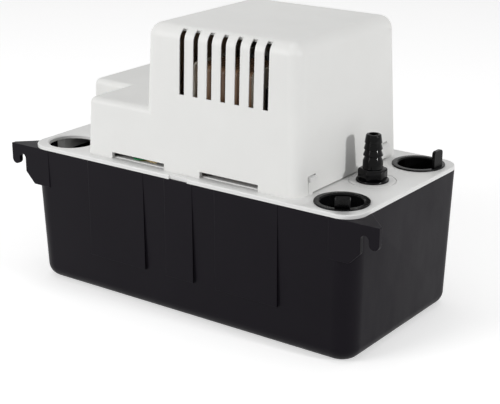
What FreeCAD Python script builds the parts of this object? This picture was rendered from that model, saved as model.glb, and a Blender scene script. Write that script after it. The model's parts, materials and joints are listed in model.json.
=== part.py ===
import FreeCAD, Part
import math
import os

os.makedirs("parts", exist_ok=True)

# Condensate pump in millimetres, +Z up, front of the pump towards -Y.
# The origin is on the surface that it stands on, under the middle of the tank.

# Tank
ear_span = 279.4
rim_length = 247.0
rim_depth = 127.0
rim_height = 89.7
tank_draft = 0.0295
tank_wall = 2.5
tank_floor = 3.0
corner_radius = 13.0
floor_edge_radius = 9.0
pad_bottom = 26.3
outer_pad_width = 45.3
outer_pad_offset = 50.0
middle_pad_width = 21.4

# Hanger ears at the ends of the front wall
ear_thickness = 3.0
ear_drop = 24.9
ear_root_x = 107.0
finger_width = 6.7
finger_length = 13.7
ear_slot_width = 5.2
ear_slot_depth_from_rim = 6.2
ear_inner_drop = 17.5
ear_web_reach = 21.5
ear_web_thickness = 3.0

# Deck that closes the tank
deck_thickness = 2.5
deck_edge_radius = 0.8
skirt_depth = 8.0
skirt_wall = 2.0
skirt_clearance = 0.4
notch_width = 14.1
notch_depth = 1.2

# Inlet holes and their plugs
inlet_from_end = 20.0
inlet_from_side = 19.5
inlet_radius = 14.3
inlet_dish_depth = 1.2
inlet_dish_width = 1.6
collar_wall = 2.2
collar_depth = 8.0
plug_clearance = 0.3
plug_flange_width = 2.8
plug_flange_thickness = 2.0
plug_depth = 10.0
plug_wall = 1.8
tab_width = 10.0
tab_height = 11.5
tab_thickness = 2.0
tab_corner_radius = 2.0

# Discharge fitting with its check valve
outlet_from_end = 26.5
outlet_ring_radius = 14.5
outlet_ring_height = 0.6
valve_flange_radius = 9.9
valve_flange_thickness = 1.8
hex_across_flats = 15.4
hex_height = 6.2
stem_height = 20.0
stem_radius = 4.5
stem_foot_radius = 5.4
stem_foot_height = 4.0
barb_radius = 5.25
barb_pitch = 4.1
barb_count = 3
valve_bore_radius = 2.7
shank_radius = 7.9
shank_drop = 24.8
valve_chamber_radius = 5.2
valve_chamber_height = 14.0
valve_seat_thickness = 2.4
valve_seat_hole_radius = 3.4
poppet_clearance = 0.3
poppet_disc_thickness = 2.0
poppet_wing_height = 6.5
poppet_wing_thickness = 1.2
poppet_tip_height = 2.0
fit_gap = 0.3

# Motor cover
cover_left = -33.2
cover_right = 81.9
cover_margin = 6.2
cover_height = 88.8
cover_draft = 0.037
cover_wall = 2.5
cover_edge_radius = 11.5
step_height = 36.7
step_left = -105.0
step_front_left = -76.0
step_notch_gap = 27.0
step_edge_radius = 4.8
step_overlap = 12.0
vent_count = 7
vent_first_left = -3.7
vent_pitch = 10.1
vent_width = 3.1
vent_bottom_rise = 48.6
vent_reach = 10.3
base_slot_height = 3.1
base_slots = [(-57.3, -15.5), (11.8, 54.5)]
rib_height = 2.0
rib_thickness = 1.5
catch_width = 8.0
catch_height = 3.5
catch_rise = 7.8
catch_right_ys = [-42.0, 38.7]
catch_left_ys = [2.0, 40.0]
tongue_plate = 1.8
cord_hole_radius = 5.0
cord_hole_x = -70.0
cord_hole_rise = 14.0

# Motor, standing above the deck with its shaft upright
motor_x = 24.35
motor_set_back = 0.209424
shaft_radius = 3.0
running_clearance = 0.05
shaft_top_gap = 6.8
deck_shaft_hole_radius = 6.0
deck_shaft_dam_height = 2.5
post_radius = 5.5
motor_stack_room = 69.0
post_spacing = 57.0
motor_screw_radius = 1.75
screw_clearance = 0.1
motor_screw_head_radius = 3.6
motor_screw_head_height = 2.5
motor_screw_grip = 10.0
strap_thickness = 3.0
strap_width = 16.0
spacer_radius = 6.5
spacer_height = 8.0
bearing_radius = 6.0
bearing_height = 9.0
bearing_boss_radius = 10.0
bearing_boss_drop = 7.0
bearing_ledge = 1.6
core_height = 25.0
core_half_width = 38.0
core_leg_width = 15.0
core_back_share = 0.4537
core_front_share = 0.3839
window_share = 0.2443
coil_leg_share = 0.2443
rotor_radius = 16.0
air_gap = 0.6
rotor_overhang = 1.5
coil_half_length = 22.0
bobbin_wall = 1.2
bobbin_flange = 1.5
bobbin_flange_lip = 1.0
winding_share = 0.1658
winding_corner_radius = 4.0
shading_bar = 2.0
shading_radius = 21.0
shading_length = 12.0
fan_radius = 28.0
fan_hub_radius = 7.0
fan_height = 8.5
fan_drop = 16.5
fan_blade_count = 6
fan_blade_chord = 14.0
fan_blade_pitch = 30.0
fan_blade_thickness = 1.2
slinger_radius = 9.0
slinger_thickness = 2.0
slinger_rise = 4.3

# Pump end, hung under the deck
foot_height = 6.0
foot_radius = 3.0
foot_circle = 23.0
intake_plate = 2.5
chamber_height = 16.0
volute_base_radius = 28.0
volute_growth = 8.0
volute_wall = 2.5
volute_roof = 3.0
column_radius = 13.0
column_bore_radius = 10.5
column_flange_radius = 24.0
column_flange_thickness = 3.0
column_socket_depth = 6.0
column_window_width = 7.0
column_window_height = 18.0
column_rib_thickness = 2.4
eye_radius = 9.0
strainer_radius = 14.0
strainer_wall = 1.7
strainer_slot_count = 12
strainer_slot_width = 2.4
impeller_radius = 24.0
impeller_hub_radius = 6.0
impeller_disc = 1.5
impeller_gap = 0.8
vane_count = 6
vane_thickness = 1.6
vane_curve_radius = 14.0
lug_radius = 4.0
lug_angles = [25.0, 110.0, 190.0, 255.0]
small_screw_radius = 1.4
small_screw_head_radius = 2.8
small_screw_head_height = 1.8
small_screw_length = 9.0
pipe_radius = 6.0
pipe_bore_radius = 4.0
pipe_bend_radius = 14.0
pipe_socket_start = 22.0
pipe_socket_depth = 11.0
pipe_socket_wall = 1.9
cup_wall = 2.5
cup_floor = 2.6
cup_cover_height = 12.4

# Float, its arm and the switches that it works
pivot_x = -14.0
pivot_behind_motor = 12.0
pivot_drop_share = 0.219621
pivot_pin_radius = 1.5
hub_radius = 4.0
hub_length = 20.0
ear_side_gap = 0.6
deck_ear_thickness = 3.0
deck_ear_width = 9.0
arm_thickness = 4.0
arm_width = 6.0
float_length = 44.0
float_width_share = 0.441
float_floor_gap = 5.0
float_offset = 64.0
float_drop_share = 0.4236
float_corner_radius = 6.0
float_pad_length = 34.0
float_pad_width = 14.0
float_pad_thickness = 2.5
tongue_rise = 13.8
tongue_thickness = 3.0
tongue_width = 14.0
tongue_lean = 12.5
tongue_slot_half = 8.0
contact_gap = 0.3
switch_depth = 15.9
switch_tall = 27.8
switch_wide = 10.3
switch_spacing = 0.5
switch_base_rise = 0.6
lever_rise = 3.2
lever_pin_radius = 0.8
lever_roll_radius = 1.5
lever_length = 22.0
lever_blade = 0.5
lever_lean = 4.0
lever_width = 6.0
plunger_rise = 12.0
plunger_radius = 1.3
plunger_clearance = 0.05
switch_screw_radius = 1.4
switch_screw_hole_radius = 1.5
switch_screw_inset = 2.8
bracket_thickness = 1.5
bracket_foot = 10.0
terminal_length = 8.0
terminal_width = 6.3
terminal_thickness = 0.8
earth_x = -41.0
earth_set_back = 9.8
earth_screw_radius = 2.0
earth_head_radius = 4.0
earth_head_height = 3.2
earth_tag_thickness = 0.8

# Levels that follow from the sizes above
deck_bottom = rim_height
deck_top = deck_bottom + deck_thickness
front_y = -rim_depth / 2
inlet_x = rim_length / 2 - inlet_from_end
inlet_y = rim_depth / 2 - inlet_from_side
outlet_x = rim_length / 2 - outlet_from_end
cover_half_depth = rim_depth / 2 - cover_margin
step_notch_y = step_notch_gap - inlet_y
earth_y = earth_set_back - cover_half_depth
motor_y = motor_set_back * cover_half_depth
core_back = core_back_share * cover_half_depth
core_front = core_front_share * cover_half_depth
window_depth = window_share * cover_half_depth
coil_leg_depth = coil_leg_share * cover_half_depth
winding_depth = winding_share * cover_half_depth
post_height = cover_height - motor_stack_room
fan_rise = cover_height - fan_drop
shaft_top_rise = cover_height - shaft_top_gap
cover_top = deck_top + cover_height
step_top = deck_top + step_height
ring_top = deck_top + outlet_ring_height
hex_bottom = ring_top + valve_flange_thickness
hex_top = hex_bottom + hex_height
stem_top = hex_top + stem_height
shank_bottom = ring_top - shank_drop
chamber_top = shank_bottom + valve_chamber_height
seat_bottom = shank_bottom - valve_seat_thickness
cup_bottom = seat_bottom - cup_floor
strap_bottom = deck_top + post_height
core_bottom = strap_bottom + strap_thickness + spacer_height
core_top = core_bottom + core_height
upper_strap_bottom = core_top + spacer_height
upper_strap_top = upper_strap_bottom + strap_thickness
core_middle = (core_bottom + core_top) / 2
core_front_y = motor_y - core_front - window_depth - coil_leg_depth
coil_y = core_front_y + coil_leg_depth / 2
feet_bottom = tank_floor + fit_gap
plate_bottom = feet_bottom + foot_height
chamber_bottom = plate_bottom + intake_plate
roof_bottom = chamber_bottom + chamber_height
roof_top = roof_bottom + volute_roof
outlet_z = (chamber_bottom + roof_bottom) / 2
pivot_y = motor_y + pivot_behind_motor
pivot_z = deck_bottom - pivot_drop_share * rim_height
tongue_height = deck_top + tongue_rise - pivot_z
float_top = pivot_z - float_drop_share * rim_height
float_height = float_top - tank_floor - float_floor_gap
float_width = float_width_share * rim_depth
float_x = pivot_x - float_offset
plug_flange_radius = inlet_radius + plug_flange_width

# The outlet of the volute runs on the tangent that passes under the discharge fitting
outlet_reach = math.hypot(outlet_x - motor_x, motor_y)
outlet_arm = volute_base_radius + volute_growth / 2
outlet_angle = math.asin(outlet_arm / outlet_reach) - math.atan2(motor_y, outlet_x - motor_x)
outlet_run = math.sqrt(outlet_reach ** 2 - outlet_arm ** 2)
outlet_along = FreeCAD.Vector(math.cos(outlet_angle), math.sin(outlet_angle), 0)
outlet_start = FreeCAD.Vector(
    motor_x + outlet_arm * math.sin(outlet_angle),
    motor_y - outlet_arm * math.cos(outlet_angle),
    outlet_z,
)


def save(name, shape):
    """Write one sub-part to its own file."""
    shape.exportStep("parts/" + name + ".step")


def block(x_low, x_high, y_low, y_high, z_low, z_high):
    """Box between two corners."""
    return Part.makeBox(
        x_high - x_low, y_high - y_low, z_high - z_low, FreeCAD.Vector(x_low, y_low, z_low)
    )


def rod(x, y, z_low, z_high, radius):
    """Upright cylinder."""
    return Part.makeCylinder(radius, z_high - z_low, FreeCAD.Vector(x, y, z_low))


def tube(x, y, z_low, z_high, outer, inner):
    """Upright tube."""
    return rod(x, y, z_low, z_high, outer).cut(rod(x, y, z_low, z_high, inner))


def cross_rod(x, z, y_low, y_high, radius):
    """Cylinder along Y."""
    return Part.makeCylinder(
        radius, y_high - y_low, FreeCAD.Vector(x, y_low, z), FreeCAD.Vector(0, 1, 0)
    )


def joined(shapes):
    """One solid from shapes that touch."""
    first = shapes[0]
    whole = first.fuse(shapes[1:])
    return whole.removeSplitter()


def side_plate(points, y_low, y_high):
    """Plate with an outline in X and Z, extruded along Y."""
    corners = [FreeCAD.Vector(x, y_low, z) for x, z in points]
    wire = Part.makePolygon(corners + corners[:1])
    return Part.Face(wire).extrude(FreeCAD.Vector(0, y_high - y_low, 0))


def rounded_outline(x_low, x_high, y_low, y_high, radius, z):
    """Wire of a rectangle with round corners."""
    edges = []
    turns = [
        (x_high - radius, y_low + radius, -90),
        (x_high - radius, y_high - radius, 0),
        (x_low + radius, y_high - radius, 90),
        (x_low + radius, y_low + radius, 180),
    ]
    ends = []
    for x, y, start in turns:
        circle = Part.Circle(FreeCAD.Vector(x, y, z), FreeCAD.Vector(0, 0, 1), radius)
        arc = Part.ArcOfCircle(circle, math.radians(start), math.radians(start + 90))
        ends.append(arc.toShape())
    for here, after in zip(ends, ends[1:] + ends[:1]):
        edges.append(here)
        edges.append(Part.makeLine(here.lastVertex().Point, after.firstVertex().Point))
    return Part.Wire(edges)


def flat_direction(angle):
    """Level unit vector at an angle from +X."""
    return FreeCAD.Vector(math.cos(angle), math.sin(angle), 0)


def edges_at_height(shape, height):
    """Edges that lie in one level plane."""
    level = []
    for edge in shape.Edges:
        box = edge.BoundBox
        if abs(box.ZMin - height) < 0.01 and abs(box.ZMax - height) < 0.01:
            level.append(edge)
    return level


def mirrored_x(shape):
    return shape.mirror(FreeCAD.Vector(0, 0, 0), FreeCAD.Vector(1, 0, 0))


def tub(inset, low, edge_radius):
    """Drafted tub with round corners, used for the outside and the inside of the tank."""
    wires = []
    for z in (low, rim_height):
        taper = tank_draft * (rim_height - z) + inset
        half_length = rim_length / 2 - taper
        half_depth = rim_depth / 2 - taper
        wires.append(rounded_outline(
            -half_length, half_length, -half_depth, half_depth, corner_radius - inset, z
        ))
    solid = Part.makeLoft(wires, True, True)
    return solid.makeFillet(edge_radius, edges_at_height(solid, low))


def hanger_ear():
    """Right hanger ear: a hook that is open downwards, with a gusset at the rim."""
    tip = ear_span / 2
    slot_outer = tip - finger_width
    slot_inner = slot_outer - ear_slot_width
    slot_middle = (slot_outer + slot_inner) / 2
    slot_centre_z = rim_height - ear_slot_depth_from_rim - ear_slot_width / 2
    finger_centre_z = rim_height - finger_length + finger_width / 2
    diagonal_x = rim_length / 2 - ear_thickness
    back = front_y + ear_thickness
    hook = side_plate([
        (ear_root_x, rim_height),
        (tip, rim_height),
        (tip, finger_centre_z),
        (slot_outer, finger_centre_z),
        (slot_outer, slot_centre_z),
        (slot_inner, slot_centre_z),
        (slot_inner, rim_height - ear_inner_drop),
        (diagonal_x, rim_height - ear_drop),
        (ear_root_x, rim_height - ear_drop),
    ], front_y, back)
    finger_end = cross_rod(tip - finger_width / 2, finger_centre_z, front_y, back, finger_width / 2)
    slot_end = cross_rod(slot_middle, slot_centre_z, front_y, back, ear_slot_width / 2)
    web = [
        (ear_root_x, front_y),
        (tip, front_y),
        (tip, back),
        (rim_length / 2 - tank_wall, front_y + ear_web_reach),
        (ear_root_x, front_y + ear_web_reach),
    ]
    corners = [FreeCAD.Vector(x, y, rim_height - ear_web_thickness) for x, y in web]
    gusset = Part.Face(Part.makePolygon(corners + corners[:1])).extrude(
        FreeCAD.Vector(0, 0, ear_web_thickness)
    )
    return hook.fuse([finger_end, gusset]).cut(slot_end)


def make_tank():
    """Black tank with three wall pads on its front and a hanger ear at each end."""
    outside = tub(0, 0, floor_edge_radius)
    pads = []
    for centre, width in (
        (-outer_pad_offset, outer_pad_width),
        (0, middle_pad_width),
        (outer_pad_offset, outer_pad_width),
    ):
        pads.append(block(
            centre - width / 2, centre + width / 2,
            front_y, front_y + tank_wall + tank_draft * rim_height,
            pad_bottom, rim_height,
        ))
    ear = hanger_ear()
    outside = outside.fuse(pads + [ear, mirrored_x(ear)])
    inside = tub(tank_wall, tank_floor, floor_edge_radius - tank_wall)
    return outside.cut(inside).removeSplitter()


def inlet_places():
    """The open inlet, then the plugged front and rear inlets."""
    return [(-inlet_x, -inlet_y), (inlet_x, -inlet_y), (inlet_x, inlet_y)]


def post_places():
    return [(motor_x - post_spacing / 2, motor_y), (motor_x + post_spacing / 2, motor_y)]


def flange_screw_places():
    """Four screws through the flange of the pump column."""
    circle = (column_radius + column_flange_radius) / 2
    places = []
    for step in range(4):
        angle = math.radians(45 + 90 * step)
        places.append((motor_x + circle * math.cos(angle), motor_y + circle * math.sin(angle)))
    return places


def cover_inner_x(rise):
    """Inner face of the right cover wall at a height above the deck."""
    return cover_right - cover_wall - cover_draft * rise


def snap_tongue(wall_x, facing, y):
    """Upright tongue on the deck whose nose holds a window of the cover."""
    root = wall_x - facing * fit_gap
    inner = root - facing * tongue_plate
    nose = root + facing * (fit_gap + cover_wall * 0.6)
    half = catch_width / 2 - fit_gap
    top = deck_top + catch_rise + catch_height + 0.8
    low = deck_top + catch_rise + fit_gap
    high = deck_top + catch_rise + catch_height - fit_gap
    return side_plate([
        (inner, deck_bottom + deck_thickness / 2),
        (root, deck_bottom + deck_thickness / 2),
        (root, low),
        (nose, low),
        (nose, low + 0.5),
        (root, high),
        (root, top),
        (inner, top),
    ], y - half, y + half)


def make_deck():
    """White deck: plate, skirt, inlet collars, valve boss, motor posts and float ears."""
    half_length = rim_length / 2
    half_depth = rim_depth / 2
    outline = rounded_outline(
        -half_length, half_length, -half_depth, half_depth, corner_radius, deck_bottom
    )
    plate = Part.Face(outline).extrude(FreeCAD.Vector(0, 0, deck_thickness))
    plate = plate.makeFillet(deck_edge_radius, edges_at_height(plate, deck_top))

    skirt_low = deck_bottom - skirt_depth
    inset = tank_wall + skirt_clearance + tank_draft * skirt_depth
    skirt_rings = []
    for step in (inset, inset + skirt_wall):
        wire = rounded_outline(
            step - half_length, half_length - step, step - half_depth, half_depth - step,
            corner_radius - inset, skirt_low,
        )
        skirt_rings.append(Part.Face(wire).extrude(FreeCAD.Vector(0, 0, skirt_depth)))
    skirt = skirt_rings[0].cut(skirt_rings[1])

    added = [skirt]
    for x, y in inlet_places():
        added.append(rod(x, y, deck_bottom - collar_depth, deck_bottom, inlet_radius + collar_wall))
    boss_radius = shank_radius + fit_gap + cup_wall
    added.append(rod(outlet_x, 0, deck_bottom - collar_depth, deck_bottom, boss_radius))
    added.append(rod(outlet_x, 0, deck_bottom, ring_top, outlet_ring_radius))
    for x, y in post_places():
        added.append(rod(x, y, deck_bottom, deck_top + post_height, post_radius))
    dam = deck_shaft_hole_radius + 2.0
    added.append(rod(motor_x, motor_y, deck_bottom, deck_top + deck_shaft_dam_height, dam))
    for x, y in flange_screw_places():
        added.append(rod(x, y, deck_top, deck_top + small_screw_length / 2, small_screw_radius + 2))
    for side in (-1, 1):
        near = hub_length / 2 + ear_side_gap
        y_low, y_high = sorted((pivot_y + side * near, pivot_y + side * (near + deck_ear_thickness)))
        ear = block(
            pivot_x - deck_ear_width / 2, pivot_x + deck_ear_width / 2,
            y_low, y_high, pivot_z, deck_bottom,
        )
        added.append(ear.fuse(cross_rod(pivot_x, pivot_z, y_low, y_high, deck_ear_width / 2)))
    rib_front = -(cover_half_depth - cover_wall - fit_gap)
    for left, right in base_slots:
        added.append(block(
            left - 3, right + 3, rib_front, rib_front + rib_thickness,
            deck_bottom, deck_top + rib_height,
        ))
    for y in catch_right_ys:
        added.append(snap_tongue(cover_inner_x(catch_rise + catch_height), 1, y))
    left_wall = step_left + cover_wall + cover_draft * (catch_rise + catch_height)
    for y in catch_left_ys:
        added.append(snap_tongue(left_wall, -1, y))
    earth_boss = earth_screw_radius + 2.0
    added.append(rod(earth_x, earth_y, deck_bottom - 6, deck_bottom, earth_boss))
    foot_x, foot_y = bracket_foot_place()
    added.append(rod(foot_x, foot_y, deck_bottom - 6, deck_bottom, small_screw_radius + 2))
    deck = plate.fuse(added)

    cuts = []
    for x, y in inlet_places():
        cuts.append(rod(x, y, deck_bottom - collar_depth, deck_top, inlet_radius))
        cuts.append(Part.makeCone(
            inlet_radius, inlet_radius + inlet_dish_width, inlet_dish_depth,
            FreeCAD.Vector(x, y, deck_top - inlet_dish_depth),
        ))
    cuts.append(rod(outlet_x, 0, deck_bottom - collar_depth, ring_top, shank_radius + fit_gap))
    cuts.append(rod(
        motor_x, motor_y, deck_bottom, deck_top + deck_shaft_dam_height, deck_shaft_hole_radius
    ))
    for x, y in post_places():
        top = deck_top + post_height
        cuts.append(rod(x, y, top - motor_screw_grip - 1, top, motor_screw_radius + screw_clearance))
    for x, y in flange_screw_places():
        top = deck_bottom + small_screw_length - column_flange_thickness + 0.5
        cuts.append(rod(x, y, deck_bottom, top, small_screw_radius + screw_clearance))
    half_tongue = hub_length / 2 + ear_side_gap
    cuts.append(block(
        pivot_x - tongue_slot_half, pivot_x + tongue_slot_half,
        pivot_y - half_tongue, pivot_y + half_tongue, deck_bottom, deck_top,
    ))
    ear_reach = half_tongue + deck_ear_thickness
    cuts.append(cross_rod(
        pivot_x, pivot_z, pivot_y - ear_reach, pivot_y + ear_reach,
        pivot_pin_radius + running_clearance,
    ))
    cuts.append(block(
        -notch_width / 2, notch_width / 2, front_y, front_y + notch_depth, deck_bottom, deck_top
    ))
    cuts.append(rod(
        earth_x, earth_y, deck_bottom - 5, deck_top, earth_screw_radius + screw_clearance
    ))
    cuts.append(rod(foot_x, foot_y, deck_bottom - 5, deck_top, small_screw_radius + screw_clearance))
    return deck.cut(cuts).removeSplitter()


def cover_block(x_low, x_high, y_low, y_high, top, radius, inset):
    """Drafted block on the deck with one radius round its sides and top."""
    height = top - inset - deck_top
    lean = inset + cover_draft * height
    solid = Part.makeWedge(
        x_low + inset, 0, inset - y_high, lean - y_high, x_low + lean,
        x_high - inset, height, -y_low - inset, -y_low - lean, x_high - lean,
    )
    solid.rotate(FreeCAD.Vector(), FreeCAD.Vector(1, 0, 0), 90)
    solid.translate(FreeCAD.Vector(0, 0, deck_top))
    edges = [edge for edge in solid.Edges if edge.BoundBox.ZMax > top - inset - 0.01]
    return solid.makeFillet(radius - inset, edges)


def cover_form(inset):
    """Outer form of the motor cover, or its inner form when it is inset by the wall."""
    front = -cover_half_depth
    rear = cover_half_depth
    step_right = cover_left + step_overlap
    tall = cover_block(cover_left, cover_right, front, rear, cover_top, cover_edge_radius, inset)
    front_step = cover_block(
        step_front_left, step_right, front, step_notch_y + 2 * step_overlap,
        step_top, step_edge_radius, inset,
    )
    rear_step = cover_block(
        step_left, step_right, step_notch_y, rear, step_top, step_edge_radius, inset
    )
    return tall.fuse([front_step, rear_step]).removeSplitter()


def make_motor_cover():
    """White cover: tall motor housing with vents, and a low step round the open inlet."""
    cover = cover_form(0).cut(cover_form(cover_wall))
    cuts = []
    for step in range(vent_count):
        left = vent_first_left + step * vent_pitch
        for side in (-1, 1):
            y_low, y_high = sorted((side * (cover_half_depth + 1), side * (cover_half_depth - vent_reach)))
            cuts.append(block(
                left, left + vent_width, y_low, y_high, deck_top + vent_bottom_rise, cover_top + 1
            ))
    for left, right in base_slots:
        cuts.append(block(
            left, right, -cover_half_depth - 1, -cover_half_depth + cover_wall + 1,
            deck_top, deck_top + base_slot_height,
        ))
    catch_low = deck_top + catch_rise
    for y in catch_right_ys:
        cuts.append(block(
            cover_right - cover_wall - 2, cover_right + 1,
            y - catch_width / 2, y + catch_width / 2, catch_low, catch_low + catch_height,
        ))
    for y in catch_left_ys:
        cuts.append(block(
            step_left - 1, step_left + cover_wall + 2,
            y - catch_width / 2, y + catch_width / 2, catch_low, catch_low + catch_height,
        ))
    cuts.append(cross_rod(
        cord_hole_x, deck_top + cord_hole_rise,
        cover_half_depth - cover_wall - 3, cover_half_depth + 1, cord_hole_radius,
    ))
    return cover.cut(cuts)


def make_plug(x, y, tab_x, tab_y):
    """Black inlet plug: a thin cup with a flange and an upright pull tab at its rim."""
    body = inlet_radius - plug_clearance
    flange_top = deck_top + plug_flange_thickness
    flange = rod(x, y, deck_top, flange_top, plug_flange_radius)
    flange = flange.makeFillet(0.7, edges_at_height(flange, flange_top))
    cup = rod(x, y, deck_top - plug_depth, deck_top, body)
    cup = cup.makeFillet(1.2, edges_at_height(cup, deck_top - plug_depth))
    outer = plug_flange_radius - 0.9
    if tab_y:
        y_low, y_high = sorted((y + tab_y * outer, y + tab_y * (outer - tab_thickness)))
        tab = block(x - tab_width / 2, x + tab_width / 2, y_low, y_high, deck_top, deck_top + tab_height)
        corners = [e for e in edges_of_top_corners(tab) if e.BoundBox.YLength > 1]
    else:
        x_low, x_high = sorted((x + tab_x * outer, x + tab_x * (outer - tab_thickness)))
        tab = block(x_low, x_high, y - tab_width / 2, y + tab_width / 2, deck_top, deck_top + tab_height)
        corners = [e for e in edges_of_top_corners(tab) if e.BoundBox.XLength > 1]
    tab = tab.makeFillet(tab_corner_radius, corners)
    hollow = rod(x, y, deck_top - plug_depth + plug_wall, flange_top, body - plug_wall)
    return flange.fuse([cup, tab]).cut(hollow).removeSplitter()


def edges_of_top_corners(tab):
    """The two short top edges of a standing tab, across its thickness."""
    top = tab.BoundBox.ZMax
    return [e for e in edges_at_height(tab, top) if e.Length < tab_thickness + 0.01]


def make_valve_body():
    """Check valve body: flange, hexagon and barbed stem above, bored shank below."""
    flange = rod(outlet_x, 0, ring_top, hex_bottom - 0.6, valve_flange_radius)
    slope = Part.makeCone(
        valve_flange_radius, hex_across_flats / 2 + 0.4, 0.6 + 1.0,
        FreeCAD.Vector(outlet_x, 0, hex_bottom - 0.6),
    )
    corner = hex_across_flats / math.sqrt(3)
    points = []
    for step in range(6):
        angle = math.radians(60 * step + 6)
        points.append(FreeCAD.Vector(
            outlet_x + corner * math.cos(angle), corner * math.sin(angle), hex_bottom
        ))
    hexagon = Part.Face(Part.makePolygon(points + points[:1])).extrude(
        FreeCAD.Vector(0, 0, hex_height)
    )
    crown = Part.makeCone(
        corner + hex_height, hex_across_flats / 2 - 0.2, hex_height + corner + 0.2 - hex_across_flats / 2,
        FreeCAD.Vector(outlet_x, 0, hex_top - (hex_height + corner + 0.2 - hex_across_flats / 2)),
    )
    hexagon = hexagon.common(crown)

    barb_low = stem_top - 0.2 - barb_count * barb_pitch
    profile = [(0, hex_top - 1), (stem_foot_radius, hex_top - 1)]
    profile.append((stem_foot_radius, hex_top + stem_foot_height))
    profile.append((stem_radius + 0.3, barb_low))
    for step in range(barb_count):
        edge = barb_low + step * barb_pitch
        profile.append((barb_radius, edge))
        profile.append((barb_radius, edge + 0.35))
        if step < barb_count - 1:
            profile.append((stem_radius, edge + barb_pitch))
    profile.append((stem_radius - 0.2, stem_top - 0.6))
    profile.append((stem_radius - 0.8, stem_top))
    profile.append((0, stem_top))
    corners = [FreeCAD.Vector(outlet_x + r, 0, z) for r, z in profile]
    stem = Part.Face(Part.makePolygon(corners + corners[:1])).revolve(
        FreeCAD.Vector(outlet_x, 0, 0), FreeCAD.Vector(0, 0, 1), 360
    )
    shank = rod(outlet_x, 0, shank_bottom, ring_top, shank_radius)
    body = flange.fuse([slope, hexagon, stem, shank])
    bore = rod(outlet_x, 0, shank_bottom, stem_top, valve_bore_radius)
    chamber = rod(outlet_x, 0, shank_bottom, chamber_top, valve_chamber_radius)
    return body.cut([bore, chamber]).removeSplitter()


def make_valve_seat():
    """Rubber-faced seat ring under the shank of the check valve."""
    ring = tube(outlet_x, 0, seat_bottom, shank_bottom, shank_radius, valve_seat_hole_radius)
    mouth = Part.makeCone(
        valve_seat_hole_radius, valve_seat_hole_radius + 0.8, 0.8,
        FreeCAD.Vector(outlet_x, 0, shank_bottom - 0.8),
    )
    return ring.cut(mouth)


def make_check_poppet():
    """Poppet: disc with a cone under it and three guide wings above it."""
    disc_bottom = shank_bottom + poppet_clearance
    disc_top = disc_bottom + poppet_disc_thickness
    radius = valve_chamber_radius - poppet_clearance
    disc = rod(outlet_x, 0, disc_bottom, disc_top, radius)
    tip = Part.makeCone(
        valve_seat_hole_radius * 0.4, valve_seat_hole_radius - 0.4, poppet_tip_height,
        FreeCAD.Vector(outlet_x, 0, disc_bottom - poppet_tip_height),
    )
    wings = []
    for step in range(3):
        wing = block(
            outlet_x, outlet_x + radius, -poppet_wing_thickness / 2, poppet_wing_thickness / 2,
            disc_top, disc_top + poppet_wing_height,
        )
        wing.rotate(FreeCAD.Vector(outlet_x, 0, 0), FreeCAD.Vector(0, 0, 1), 120 * step)
        wings.append(wing)
    ring = rod(outlet_x, 0, disc_top, disc_top + poppet_wing_height, radius)
    wings = [wing.common(ring) for wing in wings]
    return joined([disc, tip] + wings)


def make_discharge_pipe():
    """Pipe from the volute outlet, through one bend, to the cup under the check valve."""
    up = FreeCAD.Vector(0, 0, 1)
    start = outlet_start + outlet_along * (pipe_socket_start + fit_gap)
    bend_start = outlet_start + outlet_along * (outlet_run - pipe_bend_radius)
    bend_end = FreeCAD.Vector(outlet_x, 0, outlet_z + pipe_bend_radius)
    centre = bend_start + up * pipe_bend_radius
    slant = math.sqrt(0.5) * pipe_bend_radius
    bend_middle = centre + outlet_along * slant - up * slant
    end = FreeCAD.Vector(outlet_x, 0, cup_bottom + cup_floor / 2)
    path = Part.Wire([
        Part.makeLine(start, bend_start),
        Part.Arc(bend_start, bend_middle, bend_end).toShape(),
        Part.makeLine(bend_end, end),
    ])
    solids = []
    for radius in (pipe_radius, pipe_bore_radius):
        circle = Part.Wire([Part.makeCircle(radius, start, outlet_along)])
        solids.append(path.makePipeShell([circle], True, True))
    cup_inner = shank_radius + fit_gap
    cup_top = cup_bottom + cup_floor + cup_cover_height
    cup = rod(outlet_x, 0, cup_bottom, cup_top, cup_inner + cup_wall)
    hollow = rod(outlet_x, 0, seat_bottom, cup_top, cup_inner)
    through = rod(outlet_x, 0, cup_bottom, seat_bottom, pipe_bore_radius)
    return solids[0].fuse(cup).cut([solids[1], hollow, through]).removeSplitter()


def volute_outline(extra, z):
    """Spiral round the motor axis: four quarter arcs, each wider than the one before it."""
    stride = volute_growth / 4
    quarter = math.pi / 2
    angle = outlet_angle - quarter
    radius = volute_base_radius + extra + stride / 2
    centre = FreeCAD.Vector(motor_x, motor_y, z)
    centre += (flat_direction(angle + quarter) - flat_direction(angle)) * (stride / 2)
    edges = []
    for step in range(4):
        places = [
            centre + flat_direction(angle + share * quarter) * radius for share in (0, 0.5, 1)
        ]
        edges.append(Part.Arc(places[0], places[1], places[2]).toShape())
        angle += quarter
        centre -= flat_direction(angle) * stride
        radius += stride
    first = edges[0].firstVertex().Point
    last = edges[-1].lastVertex().Point
    return Part.Wire(edges + [Part.makeLine(last, first)])


def volute_slab(extra, z_low, z_high):
    return Part.Face(volute_outline(extra, z_low)).extrude(FreeCAD.Vector(0, 0, z_high - z_low))


def lug_places():
    """Screw lugs just outside the spiral wall."""
    places = []
    for degrees in lug_angles:
        turn = math.radians(degrees)
        share = turn / (2 * math.pi)
        radius = volute_base_radius + volute_wall + volute_growth * share + lug_radius / 2
        angle = outlet_angle - math.pi / 2 + turn
        places.append((motor_x + radius * math.cos(angle), motor_y + radius * math.sin(angle)))
    return places


def along_outlet(start, length, radius):
    """Cylinder on the axis of the volute outlet."""
    return Part.makeCylinder(radius, length, outlet_start + outlet_along * start, outlet_along)


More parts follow.
